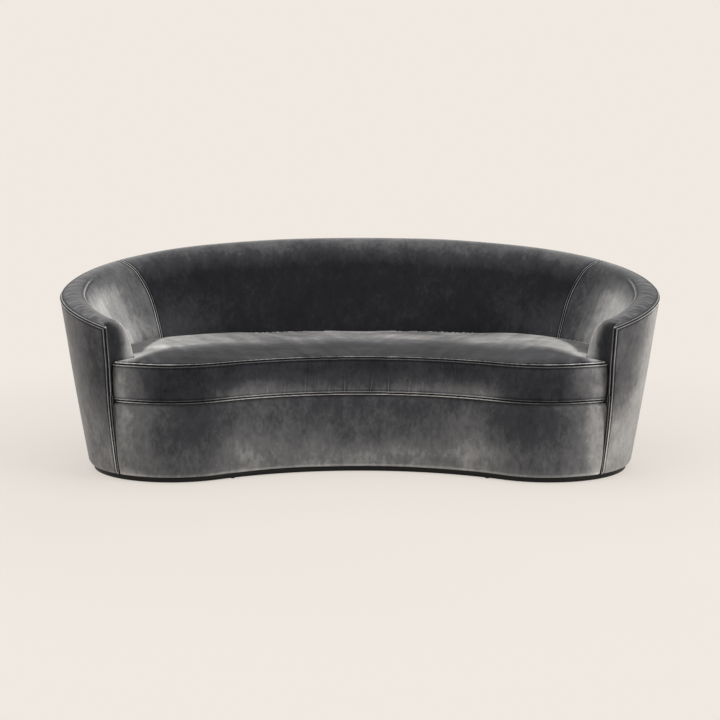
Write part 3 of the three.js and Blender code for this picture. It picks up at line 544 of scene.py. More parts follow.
def velvet_material(name, sheen, stretch):
    """Short pile: dark where it is looked into, light at grazing angles, with brushed clouds and streaks."""
    material = new_material(name, roughness=0.88, specular=0.10)
    shader = shader_of(material)
    shader.inputs["Sheen Weight"].default_value = sheen
    shader.inputs["Sheen Roughness"].default_value = 0.40
    shader.inputs["Sheen Tint"].default_value = (0.80, 0.79, 0.78, 1)
    # The base colour follows the velvet's lightness attribute, which holds painted highlights and painted
    # shade as well as the pile's own patches.
    pile_and_painted_light = node(material, "ShaderNodeAttribute", attribute_name="pile_and_painted_light")
    patches = noise_on(material, 6, detail=4, roughness=0.5, distortion=0.5)
    clouds = noise_on(material, 19, detail=7, stretch=stretch, roughness=0.66, distortion=0.35)
    mottle = noise_on(material, 62, detail=5, stretch=(1, 1, 0.6), roughness=0.62, distortion=0.6)
    pile = noise_on(material, 900, detail=2)
    terms = ((pile_and_painted_light, 1.0), (patches, 0.20), (clouds, 0.32), (mottle, 0.28), (pile, 0.08))
    mean = 0.5 * sum(weight for source, weight in terms[1:])
    scaled = [(source, "Fac", weight / VELVET_SPAN) for source, weight in terms]
    tone = weighted_sum(material, scaled, -mean / VELVET_SPAN)
    coloured(material, tone, 0, VELVET_TONES, roughness=(0.95, 0.75))
    brushed = bump_on(material, clouds, "Fac", 0.35, 0.0014)
    bump_on(material, pile, "Fac", 0.30, 0.0004, below=brushed)
    return material


def grained(name, dark, light, noise, bump, stops=(0.35, 0.65), rough=None, **surface):
    """A surface whose colour and fine relief follow one noise."""
    material = new_material(name, **surface)
    grain = noise_on(material, **noise)
    coloured(material, grain, "Fac", tuple(zip(stops, (dark, light))), rough)
    bump_on(material, grain, "Fac", *bump)
    return material


def woven(name, dark, light, pitch):
    """A plain weave: two crossed bands of threads."""
    material = new_material(name, roughness=0.92, specular=0.15)
    place = node(material, "ShaderNodeTexCoord")
    weave = node(material, "ShaderNodeMath", operation="MAXIMUM")
    for side, axis in enumerate(("X", "Y")):
        wave = node(material, "ShaderNodeTexWave", {"Scale": 0.314 / pitch, "Distortion": 0.6},
                    wave_type="BANDS", bands_direction=axis)
        link(material, place, "Object", wave, "Vector")
        link(material, wave, "Fac", weave, side)
    coloured(material, weave, 0, ((0.2, dark), (0.9, light)))
    bump_on(material, weave, 0, 0.5, pitch * 0.4)
    return material


def speckled(name, dark, light, scale, strength=0.3, roughness=0.9, metallic=0.0):
    """Foam, felt, nylon or wire: a fine irregular grain."""
    noise = {"scale": scale, "detail": 4, "roughness": 0.65}
    return grained(name, dark, light, noise, (strength, 0.0006), roughness=roughness, metallic=metallic)


VELVET = velvet_material("velvet", 0.45, (1, 1, 0.6))
CUSHION_VELVET = velvet_material("cushion_velvet", 0.12, (0.7, 1.0, 0.8))
LACQUER = grained(  # satin black with a faint grain
    "plinth_black", (0.0030, 0.0031, 0.0035), (0.0060, 0.0060, 0.0064),
    {"scale": 40, "detail": 5, "stretch": (1, 1, 6), "roughness": 0.6}, (0.08, 0.0004),
    stops=(0.3, 0.8), rough=(0.38, 0.60), roughness=0.45, specular=0.22,
)
THREAD = speckled("thread", (0.010, 0.010, 0.011), (0.030, 0.030, 0.032), 900, roughness=0.7)
LINING = speckled("lining", (0.018, 0.018, 0.020), (0.048, 0.048, 0.052), 420)
BIRCH = grained(
    "birch", (0.40, 0.27, 0.15), (0.62, 0.47, 0.29),
    {"scale": 14, "detail": 6, "stretch": (3, 3, 12), "roughness": 0.6, "distortion": 1.5}, (0.25, 0.0006),
    roughness=0.6,
)
FOAM = speckled("foam", (0.62, 0.56, 0.36), (0.78, 0.72, 0.50), 500, strength=0.6)
STEEL = speckled("spring_steel", (0.34, 0.34, 0.36), (0.58, 0.58, 0.60), 300, 0.1, 0.34, 1.0)
JUTE = woven("jute", (0.22, 0.15, 0.08), (0.50, 0.38, 0.22), 0.003)
NYLON = speckled("glide_nylon", (0.012, 0.012, 0.013), (0.030, 0.030, 0.032), 200, 0.1, 0.45)


def dress_frame():
    """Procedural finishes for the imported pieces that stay: the wooden frame, springs, webbing and glides."""
    finishes = {
        "birch": BIRCH,
        "spring_steel": STEEL,
        "jute": JUTE,
        "lining": LINING,
        "glide_nylon": NYLON,
        "plinth_black": LACQUER,
        "foam": FOAM,
        "velvet": VELVET,
    }
    for part in frame["record"]["subparts"]:
        piece = frame["nodes"][part["node"]]
        piece.data.materials.clear()
        piece.data.materials.append(finishes[part["material_slot"]])


# Covers
def rim_direction(s):
    """Out of the groove of the rim seam: up and outward."""
    out = plan(s)[1]
    return unit(np.concatenate([out, np.ones(out.shape[:-1] + (1,))], axis=-1))


def hem_light(z, amount):
    """A thin line of light along the covers' lower edge."""
    return amount * bell(z, FOOT + 0.004, 0.004)


def outside_panel(first, last, towards):
    """The tight outer cover between two edges, which may lean: hemmed at the foot and sewn elsewhere."""
    heights = seam_spacing(0.60, 0.012, first=False)
    share_up = heights / heights[-1]
    length = last(FOOT) - first(FOOT)
    along = seam_spacing(length, 0.012)
    grid = np.zeros((len(along), len(heights), 3))
    places = np.zeros(grid.shape[:2])
    for i, share in enumerate(along / length):
        s = np.full(len(heights), first(FOOT) + length * share)
        for _ in range(4):
            z = FOOT + (rim_height(s) - FOOT) * share_up
            s = first(z) + (last(z) - first(z)) * share
        hem = HEM * (1 - np.sqrt(np.clip(1 - (1 - np.minimum((z - FOOT) / HEM, 1)) ** 2, 0, 1)))
        grid[i] = at(s, outside(z) - hem + 0.0016 * np.sin(math.pi * share_up), z)
        places[i] = s
    from_top = (1 - share_up) * (rim_height(places) - FOOT)
    distance = np.minimum(np.minimum(along, length - along)[:, None], from_top)
    relief, seam_painted_light = sewn(distance)
    relief += waves(grid, 0.0010, 0.16, 0, distance)
    parts = shell_parts(grid, towards, relief, ((from_top, rim_direction(places)),))
    return parts, seam_painted_light, grid


def add_outside_panels():
    back, side_on = (0, 1, 0), (1, 0, 0)
    sewn_sides = ("first", "last", "top")
    parts, seam_painted_light, grid = outside_panel(lambda z: -PANEL_SEAM + 0 * z, lambda z: PANEL_SEAM + 0 * z, back)
    z = grid[..., 2]
    tone = 0.58 + 0.06 * soft_noise(grid, 0.30, 3) + 0.10 * ramp(z, 0.5, 0.3) + hem_light(z, 0.22)
    shell("outside_back_cover", [(*parts, tone + seam_painted_light)], ("outside_back",))
    valleys = valley_lines(parts, grid.shape[:2], back, sewn_sides)
    parts, seam_painted_light, grid = outside_panel(lambda z: PANEL_SEAM + 0 * z, lip_edge, side_on)
    y, z = grid[..., 1], grid[..., 2]
    lip = ramp(y, -0.36, -0.14) * ramp(z, 0.10, 0.25)
    ahead = ramp(y, 0.26, -0.36)
    low = ramp(z, 0.20, -0.15)
    for side, sign in (("right", 1), ("left", -1)):
        # Painted light: the outside lighter towards the front as painted sheen, the right arm's lighter than
        # the left as lit from the right, darker near the lip and low down.
        light = 0.875 + 0.105 * sign - (0.30 + 0.06 * sign) * lip**1.5 - (0.04 + 0.04 * sign) * low
        tone = 0.60 + (light - 0.60) * ahead + 0.05 * soft_noise(grid, 0.25, 5 + sign) + hem_light(z, 0.22)
        tone += seam_painted_light * np.where(seam_painted_light > 0, 1 - 0.35 * np.clip(lip * 3, 0, 1), 1)
        sheet = (*mirrored_parts(parts, sign), tone)
        shell(f"outside_arm_cover_{side}", [sheet], (f"outside_arm_{side}",))
        valleys += valley_lines(parts, grid.shape[:2], side_on, sewn_sides, sign)
    return valleys


def mirrored_parts(parts, sign):
    """A sheet's points and faces, on the right or mirrored to the left."""
    points, faces = parts
    return (points, faces) if sign > 0 else (points * (-1, 1, 1), faces[:, ::-1])


def back_tone(grid):
    """Tone of the inner back: very dark in the middle, a painted highlight along the roll where it catches the
    sheen, lighter towards the seat's corners.
    """
    x, z = grid[..., 0], grid[..., 2]
    roll = ramp(z, rim_height_at(x) - 0.10, 0.11)
    foot = ramp(z, 0.62, -0.14) * ramp(np.abs(x), 0.52, 0.22)
    streak = drawn_noise(x / 0.035, z / 0.25, 0, 41)
    middle = ramp(np.abs(x), 0.6, -0.6)
    roll = (0.42 + 0.08 * middle + 0.05 * soft_noise(grid, 0.06, 42)) * roll**0.9
    return 0.22 + roll + foot * (0.24 + 0.07 * streak) + 0.03 * soft_noise(grid, 0.25, 9)


def rim_height_at(x):
    """Rim height over a place across the back."""
    s = np.linspace(0, PANEL_SEAM, 60)
    reach = plan(s)[0][:, 0]
    return np.interp(np.abs(x), reach, rim_height(s))


def add_inside_back():
    towards = (0, -1, 0.4)
    width = 2 * PANEL_SEAM
    along = seam_spacing(width, 0.010)
    columns = []
    for row in range(len(WALL_SHARES)):
        seam = seam_place(row)
        s = -seam + 2 * seam * along / width
        columns.append(at(s, *wall_section(s, row)))
    grid = np.stack(columns, axis=1)
    from_rim = (WALL_SHARES * WALL_LENGTH)[None, :]
    distance = np.minimum(np.minimum(along, width - along)[:, None], from_rim)
    relief, seam_painted_light = sewn(distance)
    relief += waves(grid, 0.0022, 0.22, 1, distance)
    parts = shell_parts(grid, towards, relief, ((from_rim, rim_direction(along - PANEL_SEAM)[:, None, :]),))
    tone = back_tone(grid) + seam_painted_light
    shell("inside_back_cover", [(*parts, tone)], ("inside_back", "back_foam"))
    return valley_lines(parts, grid.shape[:2], towards, ("first", "last", "rim"))


FOLD_SOFTNESS = 0.0055  # over which the arm's front edge is rounded
FOLD_REACH = 0.036  # on both sides of the edge, on closer columns
ARM_SAMPLES = 500
ARM_FADE = 0.04  # distance from the arm's seams over which its waves fade
FAN_RELIEF = 0.0013  # height of the long waves in the arm's hollow
# Painted light on the hollow's waves: their crests lighter, their troughs darker.
FAN_PAINTED_LIGHT = 0.05
GATHER_PAINTED_LIGHT = 85  # painted light for each metre of a gather's height: lighter crests, darker hollows
ARM_BODY_COLUMNS = 220
ARM_FOLD_COLUMNS = 24
ARM_FRONT_COLUMNS = 14
DART = (  # places along the arm, and the dart's distance from the rim at each
    (1.19, 0.076), (1.255, 0.081), (1.316, 0.088), (1.37, 0.092), (1.431, 0.099), (1.478, 0.106),
    (1.53, 0.116), (1.58, 0.126), (1.62, 0.135), (1.648, 0.141),
)


def arm_line(row, seam, lip_height):
    """One line of the arm's cover: along the arm to its front edge, over it and across the front to the lip.
    Returns its points, their places along the arm, their distances from the lip and those from the edge."""
    q_end, z_end = wall_section(ARM_END, row)
    depth = outside(min(z_end, rim_height(ARM_END))) - q_end
    beyond = ramp(max(depth, LIP_EDGE), LIP_BLEND, LIP_EDGE - LIP_BLEND)
    stop = ARM_END + (LIP_TOP - ARM_END) * beyond
    s = np.linspace(seam, stop, ARM_SAMPLES)
    q, z = wall_section(s, row)
    side = at(s, q, z)
    lip = at(lip_edge(lip_height), outside(lip_height), lip_height)
    corner_height = 0.5 * (z[-1] + lip_height)
    corner = at(ARM_END, outside(corner_height) - LIP_BLEND, corner_height)
    bead = at(lip_edge(lip_height) - 0.004, outside(lip_height) - LIP_ROUND, lip_height)
    front = [corner] if depth > LIP_BLEND * 1.02 else []
    front += [bead, lip] if depth > LIP_ROUND * 1.2 else [lip]
    line = np.concatenate([side, front])
    steps = np.linalg.norm(np.diff(line, axis=0), axis=1)
    edge, total = steps[: ARM_SAMPLES - 1].sum(), steps.sum()
    reach = min(FOLD_REACH, 0.35 * (total - edge))
    near = np.array(SEAM_ROWS)
    after = total - near[::-1] * LIP_SPREAD
    where = np.concatenate([
        near,
        np.linspace(near[-1], edge - FOLD_REACH, ARM_BODY_COLUMNS)[1:],
        np.linspace(edge - FOLD_REACH, edge + reach, ARM_FOLD_COLUMNS * 2)[1:],
        np.linspace(edge + reach, max(after[0], edge + reach + 0.001), ARM_FRONT_COLUMNS)[1:-1],
        np.maximum(after, edge + reach + 0.001),
    ])
    samples = 2 * ARM_SAMPLES
    rounded = smoothed(resampled(line, np.linspace(0, 1, samples)), FOLD_SOFTNESS / total * samples)
    held = np.clip(np.minimum(where / 0.02, (total - where) / 0.02 - 0.6), 0, 1)[:, None]
    points = resampled(line, where / total) * (1 - held) + resampled(rounded, where / total) * held
    return points, seam + (stop - seam) * ramp(where, 0, edge), total - where, where - edge


def add_inside_arms():
    rows = len(WALL_SHARES)
    section = np.array([wall_section(ARM_END, row) for row in range(rows)])
    steps = np.linalg.norm(np.diff(section, axis=0), axis=1)
    length = np.concatenate([[0], np.cumsum(steps)])
    at_seat = length[np.argmax((section[:, 1] < SEAT_SEAM) & (length > 0.1))]
    share = ramp(length, 0, at_seat)
    above_seat = ARM_HEIGHT - (ARM_HEIGHT - SEAT_SEAM) * share**1.25
    lip_heights = np.where(length < at_seat, above_seat, section[:, 1])
    lines = [arm_line(row, seam_place(row), lip_heights[row]) for row in range(rows)]
    grid, places, from_lip, past_fold = (np.stack(column, axis=1) for column in zip(*lines))
    towards = (-1, 0, 0.6)
    from_rim = WALL_SHARES * np.interp(places, WALL_PLACES, SECTION_LENGTHS)
    distance = np.minimum(np.minimum(places - places[0], from_lip / LIP_SPREAD), from_rim)
    relief, seam_painted_light = sewn(distance)
    relief = relief * np.clip(np.hypot(from_rim, from_lip) / 0.014, 0.1, 1)
    seam_painted_light = seam_painted_light * np.where((from_lip / LIP_SPREAD <= distance) & (seam_painted_light > 0), 1.5, 1)
    lip_direction = unit(np.append(plan(LIP_TOP)[1] - (0, 0.7), 0))
    turns = ((from_rim, rim_direction(places)), (from_lip, lip_direction))
    from_fold = distance_from_fold(grid, past_fold)
    dart_relief, dart_painted_light = dart(places, from_rim, past_fold)
    creases = gathers(places, from_rim, past_fold)
    strip, strip_tone = foot_strip()
    valleys = []
    for side, sign in (("right", 1), ("left", -1)):
        mirrored = grid * (sign, 1, 1)
        wave = waves(mirrored, 0.0020, 0.16, 2, distance, ARM_FADE)
        fan = arm_fan(places, from_rim, sign) * ramp(distance, 0, ARM_FADE)
        raised = relief + wave + dart_relief + creases + fan * FAN_RELIEF
        parts = shell_parts(grid, towards, raised, turns)
        tone = arm_tone(mirrored, places, from_rim, past_fold, from_fold, sign)
        tone += seam_painted_light + dart_painted_light + creases * GATHER_PAINTED_LIGHT + fan * FAN_PAINTED_LIGHT
        sheets = [(*mirrored_parts(parts, sign), tone), (*mirrored_parts(strip, sign), strip_tone)]
        shell(f"inside_arm_cover_{side}", sheets, (f"inside_arm_{side}", f"arm_foam_{side}"))
        valleys += valley_lines(parts, grid.shape[:2], towards, ("first", "rim"), sign)
    return valleys


def tree_of(points):
    tree = KDTree(len(points))
    for i, p in enumerate(points):
        tree.insert(p, i)
    tree.balance()
    return tree


def distance_from_fold(grid, past_fold):
    """Distance of each point of the arm's cover from the line where it turns over the arm's front edge."""
    rows = range(grid.shape[1])
    edge = np.array([
        [np.interp(0, past_fold[:, row], grid[:, row, axis]) for axis in range(3)] for row in rows
    ])
    tree = tree_of(resampled(edge, np.linspace(0, 1, 400)))
    return np.array([tree.find(p)[2] for p in grid.reshape(-1, 3)]).reshape(grid.shape[:2])


def dart(places, from_rim, past_fold):
    """The short seam along the arm's top, a single ridge that runs out into the fold of the arm's front. Its
    tone is painted light: painted highlights on the ridge and along the fold, painted shade beside and under
    it.
    """
    along, depth = np.array(DART).T
    off = from_rim - np.interp(places, along, depth)
    strength = ramp(places, along[0], 0.05) * ramp(past_fold, 0.004, -0.008)
    ridge = bell(off, 0, 0.0030)
    beside = bell(np.abs(off), 0.0075, 0.0030)
    front = ramp(places, 1.50, 0.10)
    under = bell(off, 0.011, 0.006) * ramp(places, 1.34, 0.06) * (1 - front)
    over = bell(off, -0.014, 0.012) * front
    # A painted highlight along the fold at the arm's front edge.
    fold = bell(past_fold, -0.001, 0.0065) * ramp(from_rim, 0.110, 0.03)
    relief = strength * (0.0020 * ridge - 0.0012 * beside * (1 - front))
    shade = 0.40 * ridge - 0.24 * beside * (1 - 0.7 * front) - 0.30 * under + 0.16 * over
    return relief, strength * shade + 0.95 * fold


def arm_fan(places, from_rim, seed):
    """Long soft waves that run down the arm's hollow from its top."""
    broad = drawn_noise(places / 0.030, from_rim / 0.22 + places / 0.9, 0, 31 + seed)
    fine = drawn_noise(places / 0.012, from_rim / 0.16 + places / 0.6, 0, 33 + seed)
    return (0.7 * broad + 0.5 * fine) * ramp(from_rim, 0.085, 0.05)


def gathers(places, from_rim, past_fold):
    """Short creases across the top of the arm, where the cover is eased round the tight bend."""
    bend = ramp(places, 1.12, 0.14) * ramp(past_fold, 0, -0.03)
    band = ramp(from_rim, 0.008, 0.012) * ramp(from_rim, 0.084, -0.026)
    coarse = drawn_noise(places / 0.013 + from_rim * 14, from_rim / 0.06, 0, 7)
    fine = drawn_noise(places / 0.006 + from_rim * 9, from_rim / 0.03, 0, 8)
    return 0.0019 * bend * band * (0.6 * coarse + 0.5 * fine)


def arm_tone(grid, places, from_rim, past_fold, from_fold, sign):
    """Tone of the arm's cover: a painted sheen highlight in its hollow, middling on top, dark on its front
    with a painted highlight in a band below the front edge.
    """
    low = ramp(from_rim, 0.085, 0.05)
    hollow = bell(places, 1.275, 0.21) * ramp(from_rim, 0.085, 0.085)
    # Painted light from the right: the left arm's inside lighter low down, the right arm's top darker.
    tone = 0.57 + 0.45 * hollow + 0.05 * soft_noise(grid, 0.2, 11) + 0.06 * low - 0.05 * sign * low
    tone += 0.05 * (1 - sign) * low * ramp(from_rim, 0.26, 0.08)
    tone += (0.11 - 0.22 * low) * ramp(places, 1.14, -0.12) - 0.045 * (1 + sign) * (1 - low)
    front = ramp(past_fold, 0.001, 0.010)
    deep = ramp(from_rim, 0.09, 0.12)
    reach = 0.0150 + 0.026 * deep + 0.022 * ramp(from_rim, 0.22, 0.05)
    reach = reach + 0.004 * soft_noise(grid, 0.03, 13)
    # A painted highlight in a band below the front edge.
    band = np.exp(-((from_fold / reach) ** 3))
    face = 0.29 + (0.60 + 0.12 * deep) * band + 0.03 * soft_noise(grid, 0.1, 12)
    return tone * (1 - front) + face * front


def foot_strip():
    """The arm's cover below the deck: in from the lip and on behind the end of the front border."""
    heights = np.linspace(FOOT + 0.001, DECK + 0.03, 60)
    shares = seam_spacing(0.08, 0.002, first=False) / 0.08
    grid = np.zeros((len(heights), len(shares), 3))
    for i, z in enumerate(heights):
        lip = lip_edge(z)
        face = outside(z)
        tuck = np.interp(z, (DECK - 0.014, DECK - 0.008), (0.030, -0.003))
        knots = [
            at(lip + tuck, -0.0175, z),
            at(lip - 0.004, -0.0175, z),
            at(lip - 0.003, face - 0.0105, z),
            at(lip + 0.0070, face - 0.0080, z),
            at(lip + 0.0085, face - 0.0030, z),
            at(lip + 0.0065, face - 0.0006, z),
            at(lip, face, z),
        ]
        grid[i] = resampled(np.array(knots), shares)
    distance = np.linalg.norm(np.diff(grid[:, ::-1], axis=1), axis=-1).cumsum(axis=1)
    distance = np.concatenate([np.zeros((len(grid), 1)), distance], axis=1)[:, ::-1]
    relief, seam_painted_light = sewn(distance * 1.3)
    parts = shell_parts(grid, (-0.6, -0.6, 0), relief * (distance < 0.008), thickness=0.0015)
    # Dark away from the lip's seam and lighter along it.
    return parts, np.where(distance < 0.009, 0.50, 0.05) + seam_painted_light


def flare_at(s, width):
    """How far the front leans out beside the arms, to meet their lips."""
    along = np.minimum(np.abs(s), 2 * FRONT_MIDDLE - np.abs(s))
    return width * ramp(along, ARM_END + FLARE_REACH, -FLARE_REACH)


def border_profile(s):
    """The front border's section: hemmed at the foot, a slight bulge, round on top, folded over the deck."""
    flare = flare_at(s, BORDER_FLARE)
    hem = np.linspace(0, math.pi / 2, 6)
    lower = np.stack([-HEM * (1 - np.sin(hem)), FOOT + HEM * (1 - np.cos(hem))], axis=1)
    shoulder = DECK - BORDER_EDGE
    share = np.linspace(0, 1, 30)[1:]
    front = np.stack([
        BORDER_BULGE * np.sin(math.pi * share) + flare * share,
        FOOT + HEM + (shoulder - FOOT - HEM) * share,
    ], axis=1)
    turn = np.linspace(0, math.pi / 2, 10)[1:]
    edge = np.stack([
        flare - BORDER_EDGE * (1 - np.cos(turn)),
        shoulder + BORDER_EDGE * np.sin(turn),
    ], axis=1)
    fold = np.array([[-BORDER_FOLD, DECK - 0.0002]])
    return np.concatenate([lower, front, edge, fold])


def border_end(z):
    """Where the border ends: beside the lip at the foot, and behind it at the deck."""
    lip = lip_edge(z)
    tucked = lip + 0.009 - 0.0115 * ramp(z, FOOT, 0.12)
    share = ramp(z, 0.190, 0.080)
    return tucked * (1 - share) + (ARM_END + 0.002) * share


BORDER_PATCHES = (  # centre and reach of light and dark patches, their amount, True on both sides
    ((0.60, 0.22), (0.11, 0.11), -0.15, True), ((0.43, 0.09), (0.14, 0.08), 0.20, True),
    ((0.40, 0.20), (0.10, 0.07), 0.08, True), ((0.42, 0.09), (0.12, 0.07), 0.08, False),
    ((0.20, 0.08), (0.12, 0.06), 0.10, True), ((0.70, 0.07), (0.10, 0.06), 0.10, True),
    ((0.00, 0.26), (0.24, 0.05), -0.04, True), ((0.00, 0.15), (0.16, 0.06), 0.06, True),
    ((0.00, 0.06), (0.22, 0.05), 0.22, True),
)
BORDER_ENDS = (0, 0.0003, 0.0008, 0.0016, 0.0028, 0.0044, 0.007, 0.014)


def add_front_border():
    shares_up = np.linspace(0, 1, 64)
    length = 2 * (FRONT_MIDDLE - ARM_END)
    ends = np.array(BORDER_ENDS)
    middle = np.linspace(ends[-1], length - ends[-1], 190)[1:-1]
    along = np.concatenate([ends, middle, length - ends[::-1]])
    grid = np.zeros((len(along), len(shares_up), 3))
    for i, distance in enumerate(along):
        line = resampled(border_profile(ARM_END + distance), shares_up)
        first = border_end(line[:, 1])
        s = first + (2 * FRONT_MIDDLE - 2 * first) * distance / length
        grid[i] = at(s, line[:, 0], line[:, 1])
    from_end = np.minimum(along, length - along)[:, None]
    bent = np.clip(BORDER_END_ROUND - from_end, 0, None)
    dip = BORDER_END_ROUND - np.sqrt(np.clip(BORDER_END_ROUND**2 - bent**2, 0, None))
    relief = waves(grid, 0.0016, 0.18, 4, from_end) - dip
    x, z = grid[..., 0], grid[..., 2]
    across = np.abs(x)
    tone = 0.54 + 0.04 * soft_noise(grid, 0.22, 6)
    # Painted sheen highlights at both ends, stronger at the right end as painted light from the right.
    tone += 0.22 * ramp(across, 0.72, 0.12) + 0.17 * ramp(x, 0.80, 0.06)
    for centre, reach, amount, both in BORDER_PATCHES:
        tone += bump_at(across if both else x, z, centre, reach, amount)
    # Lighter towards the foot, a painted highlight on the border's rounded ends, and the hem's line of light.
    tone += 0.12 * ramp(z, 0.055, -0.03) + 0.30 * bell(from_end, 0, 0.004) + hem_light(z, 0.20)
    sheet = (*shell_parts(grid, (0, -1, 0.2), relief), tone)
    shell("front_border_cover", [sheet], ("front_border", "front_border_foam"))


def add_plinth():
    """Bent plinth lengths with eased edges, in the same four pieces as the frame's."""
    ease = 0.0012
    low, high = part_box("plinth_back")[0].z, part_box("plinth_back")[1].z
    outer, inner = -PLINTH_INSET, -PLINTH_INSET - 0.018
    section = (
        (inner, low), (outer - ease, low), (outer, low + ease), (outer, high - ease), (outer - ease, high),
        (inner, high),
    )
    for name, first, last in (
        ("plinth_back", -PANEL_SEAM, PANEL_SEAM),
        ("plinth_end_right", PANEL_SEAM + 0.0003, ARM_END),
        ("plinth_end_left", -ARM_END, -PANEL_SEAM - 0.0003),
        ("plinth_front", ARM_END + 0.0003, 2 * FRONT_MIDDLE - ARM_END - 0.0003),
    ):
        s = np.linspace(first, last, max(8, int((last - first) / 0.012)))
        grid = np.stack([at(s, q, z) for q, z in section], axis=1)
        rows, columns = grid.shape[:2]
        index = np.arange(rows * columns).reshape(rows, columns)
        around = [(index[i, -1], index[i, 0], index[i + 1, 0], index[i + 1, -1]) for i in range(rows - 1)]
        faces = list(quads(rows, columns)) + around + [tuple(index[0, ::-1]), tuple(index[-1])]
        made = make_object(f"{name}_lacquered", grid.reshape(-1, 3), faces, LACQUER)
        outward(made)
        made.data.set_sharp_from_angle(angle=math.radians(50))
        settle(made, "sofa", (name,))


@contextlib.contextmanager
def opened(piece):
    """A piece's mesh for the edits inside a with block."""
    mesh = bmesh.new()
    mesh.from_mesh(piece.data)
    yield mesh
    mesh.to_mesh(piece.data)
    mesh.free()


def outward(piece):
    """Turns a closed mesh's faces outward."""
    with opened(piece) as mesh:
        bmesh.ops.recalc_face_normals(mesh, faces=mesh.faces)


# Seat cushion
def place_across(x, q):
    """The place on the front, right of the middle, whose point at a distance outward has this x."""
    s = np.linspace(ARM_END, FRONT_MIDDLE, 400)
    return float(np.interp(-x, -at(s, q, 0)[:, 0], s))


CUSHION_VOXEL = 0.0085
CREASE_PAINTED_LIGHT = 115  # painted light for each metre of a crease's height: lighter crests, darker hollows
CUSHION_EAR_COLUMNS = 16
CUSHION_SEAT_COLUMNS = 90


def cushion_chains(z, shrink):
    """The cushion's outline at a height, as two lines of points, front and back, that meet in the ears."""
    ear = ARM_END + EAR_GAP + shrink
    front_offset = CUSHION_PROUD - shrink
    wall_offset = outside(z) - WALL - CUSHION_GAP - shrink
    corner = at(ear, wall_offset, 0)
    seat_from = place_across(corner[0] - EAR_REACH, front_offset)
    share = np.linspace(0, 1, CUSHION_EAR_COLUMNS)
    place = ear + (seat_from - ear) * share
    front = [at(place, front_offset + flare_at(place, EAR_FLARE), z)]
    tip_offset = front_offset + flare_at(ear, EAR_FLARE)
    back = [at(ear, tip_offset + (wall_offset - tip_offset) * share, z)]
    share = np.linspace(0, 1, CUSHION_SEAT_COLUMNS)[1:]
    front.append(at(seat_from + (FRONT_MIDDLE - seat_from) * share, front_offset, z))
    back.append(at(ear * (1 - share), wall_offset, z))
    front, back = np.concatenate(front), np.concatenate(back)
    for chain in (front, back):
        away = chain[1] - chain[0]
        chain[0] = chain[0] + away / np.linalg.norm(away) * EAR_CORNER * 0.5
    mirrored = [np.concatenate([chain, chain[-2::-1] * (-1, 1, 1)]) for chain in (front, back)]
    return mirrored


def cushion_ring(z, shrink):
    """The outline as one closed ring with rounded ears: the front chain, then the back chain reversed."""
    front, back = cushion_chains(z, shrink)
    ring = np.concatenate([front, back[::-1]])
    softened = ring.copy()
    for _ in range(6):
        near = (np.roll(softened, 1, axis=0) + np.roll(softened, -1, axis=0)) / 2
        softened = 0.5 * softened + 0.5 * near
    share = ramp(z, LOWER_SEAM, SEAT_SEAM - LOWER_SEAM)
    softened[:, 2] -= BACK_SINK * share * ramp(softened[:, 1], -0.10, 0.35)
    return softened


def cushion_form():
    """The sewn case before it is filled: flat underside, leaning boxing and a low crown."""
    boxing = np.linspace(0, 1, 14)
    heights = LOWER_SEAM + (SEAT_SEAM - LOWER_SEAM) * boxing
    levels = [cushion_ring(DECK + 0.0005, BOTTOM_INSET)]
    levels += [cushion_ring(z, -BOXING_BULGE * math.sin(math.pi * b)) for z, b in zip(heights, boxing)]
    ring = len(levels[0])
    count = ring // 2
    points = [p for level in levels for p in level]
    faces = []
    for k in range(len(levels) - 1):
        for j in range(ring):
            a, b = k * ring + j, k * ring + (j + 1) % ring
            faces.append((a, b, b + ring, a + ring))
    for base, cross_rows, crown in ((0, 12, 0.0), ((len(levels) - 1) * ring, 40, 1)):
        level = np.array(levels[base // ring])
        front, back = level[:count], level[count:][::-1]
        rows = [np.arange(count) + base]
        for r in range(1, cross_rows):
            share = 0.5 * (1 - math.cos(math.pi * r / cross_rows))
            row = front * (1 - share) + back * share
            span = np.linalg.norm(front - back, axis=1)
            tip = np.minimum(np.linalg.norm(row - front[0], axis=1), np.linalg.norm(row - front[-1], axis=1))
            edge = np.minimum(min(share, 1 - share) * span, tip)
            towards_ear = ramp(np.abs(row[:, 0]), 0.35, 0.40)
            full = CROWN + (EAR_CROWN - CROWN) * towards_ear**2 * (3 - 2 * towards_ear)
            row[:, 2] += crown * full * (1 - np.exp(-2 * edge / CROWN_REACH))
            rows.append(np.arange(count) + len(points))
            points.extend(row)
        rows.append(base + 2 * count - 1 - np.arange(count))
        for lower, upper in zip(rows, rows[1:]):
            for i in range(count - 1):
                face = (lower[i], lower[i + 1], upper[i + 1], upper[i])
                faces.append(face if base else face[::-1])
        left = [row[0] for row in rows]
        right = [row[-1] for row in rows]
        faces.append(tuple(left if not base else left[::-1]))
        faces.append(tuple(right[::-1] if not base else right))
    return points, faces, np.array(levels[1]), np.array(levels[-1])


def remesh(piece, voxel):
    modifier = piece.modifiers.new("voxels", "REMESH")
    modifier.mode = "VOXEL"
    modifier.voxel_size = voxel
    apply_modifiers(piece)


def apply_modifiers(piece):
    shown = piece.evaluated_get(bpy.context.evaluated_depsgraph_get())
    mesh = bpy.data.meshes.new_from_object(shown)
    piece.modifiers.clear()
    piece.data = mesh


def vertex_values(piece, name="co"):
    """The points of a mesh, or their directions where the name is normal."""
    flat = np.zeros(len(piece.data.vertices) * 3, np.float32)
    piece.data.vertices.foreach_get(name, flat)
    return flat.reshape(-1, 3).astype(float)


def set_points(piece, points):
    piece.data.vertices.foreach_set("co", points.astype(np.float32).ravel())
    piece.data.update()


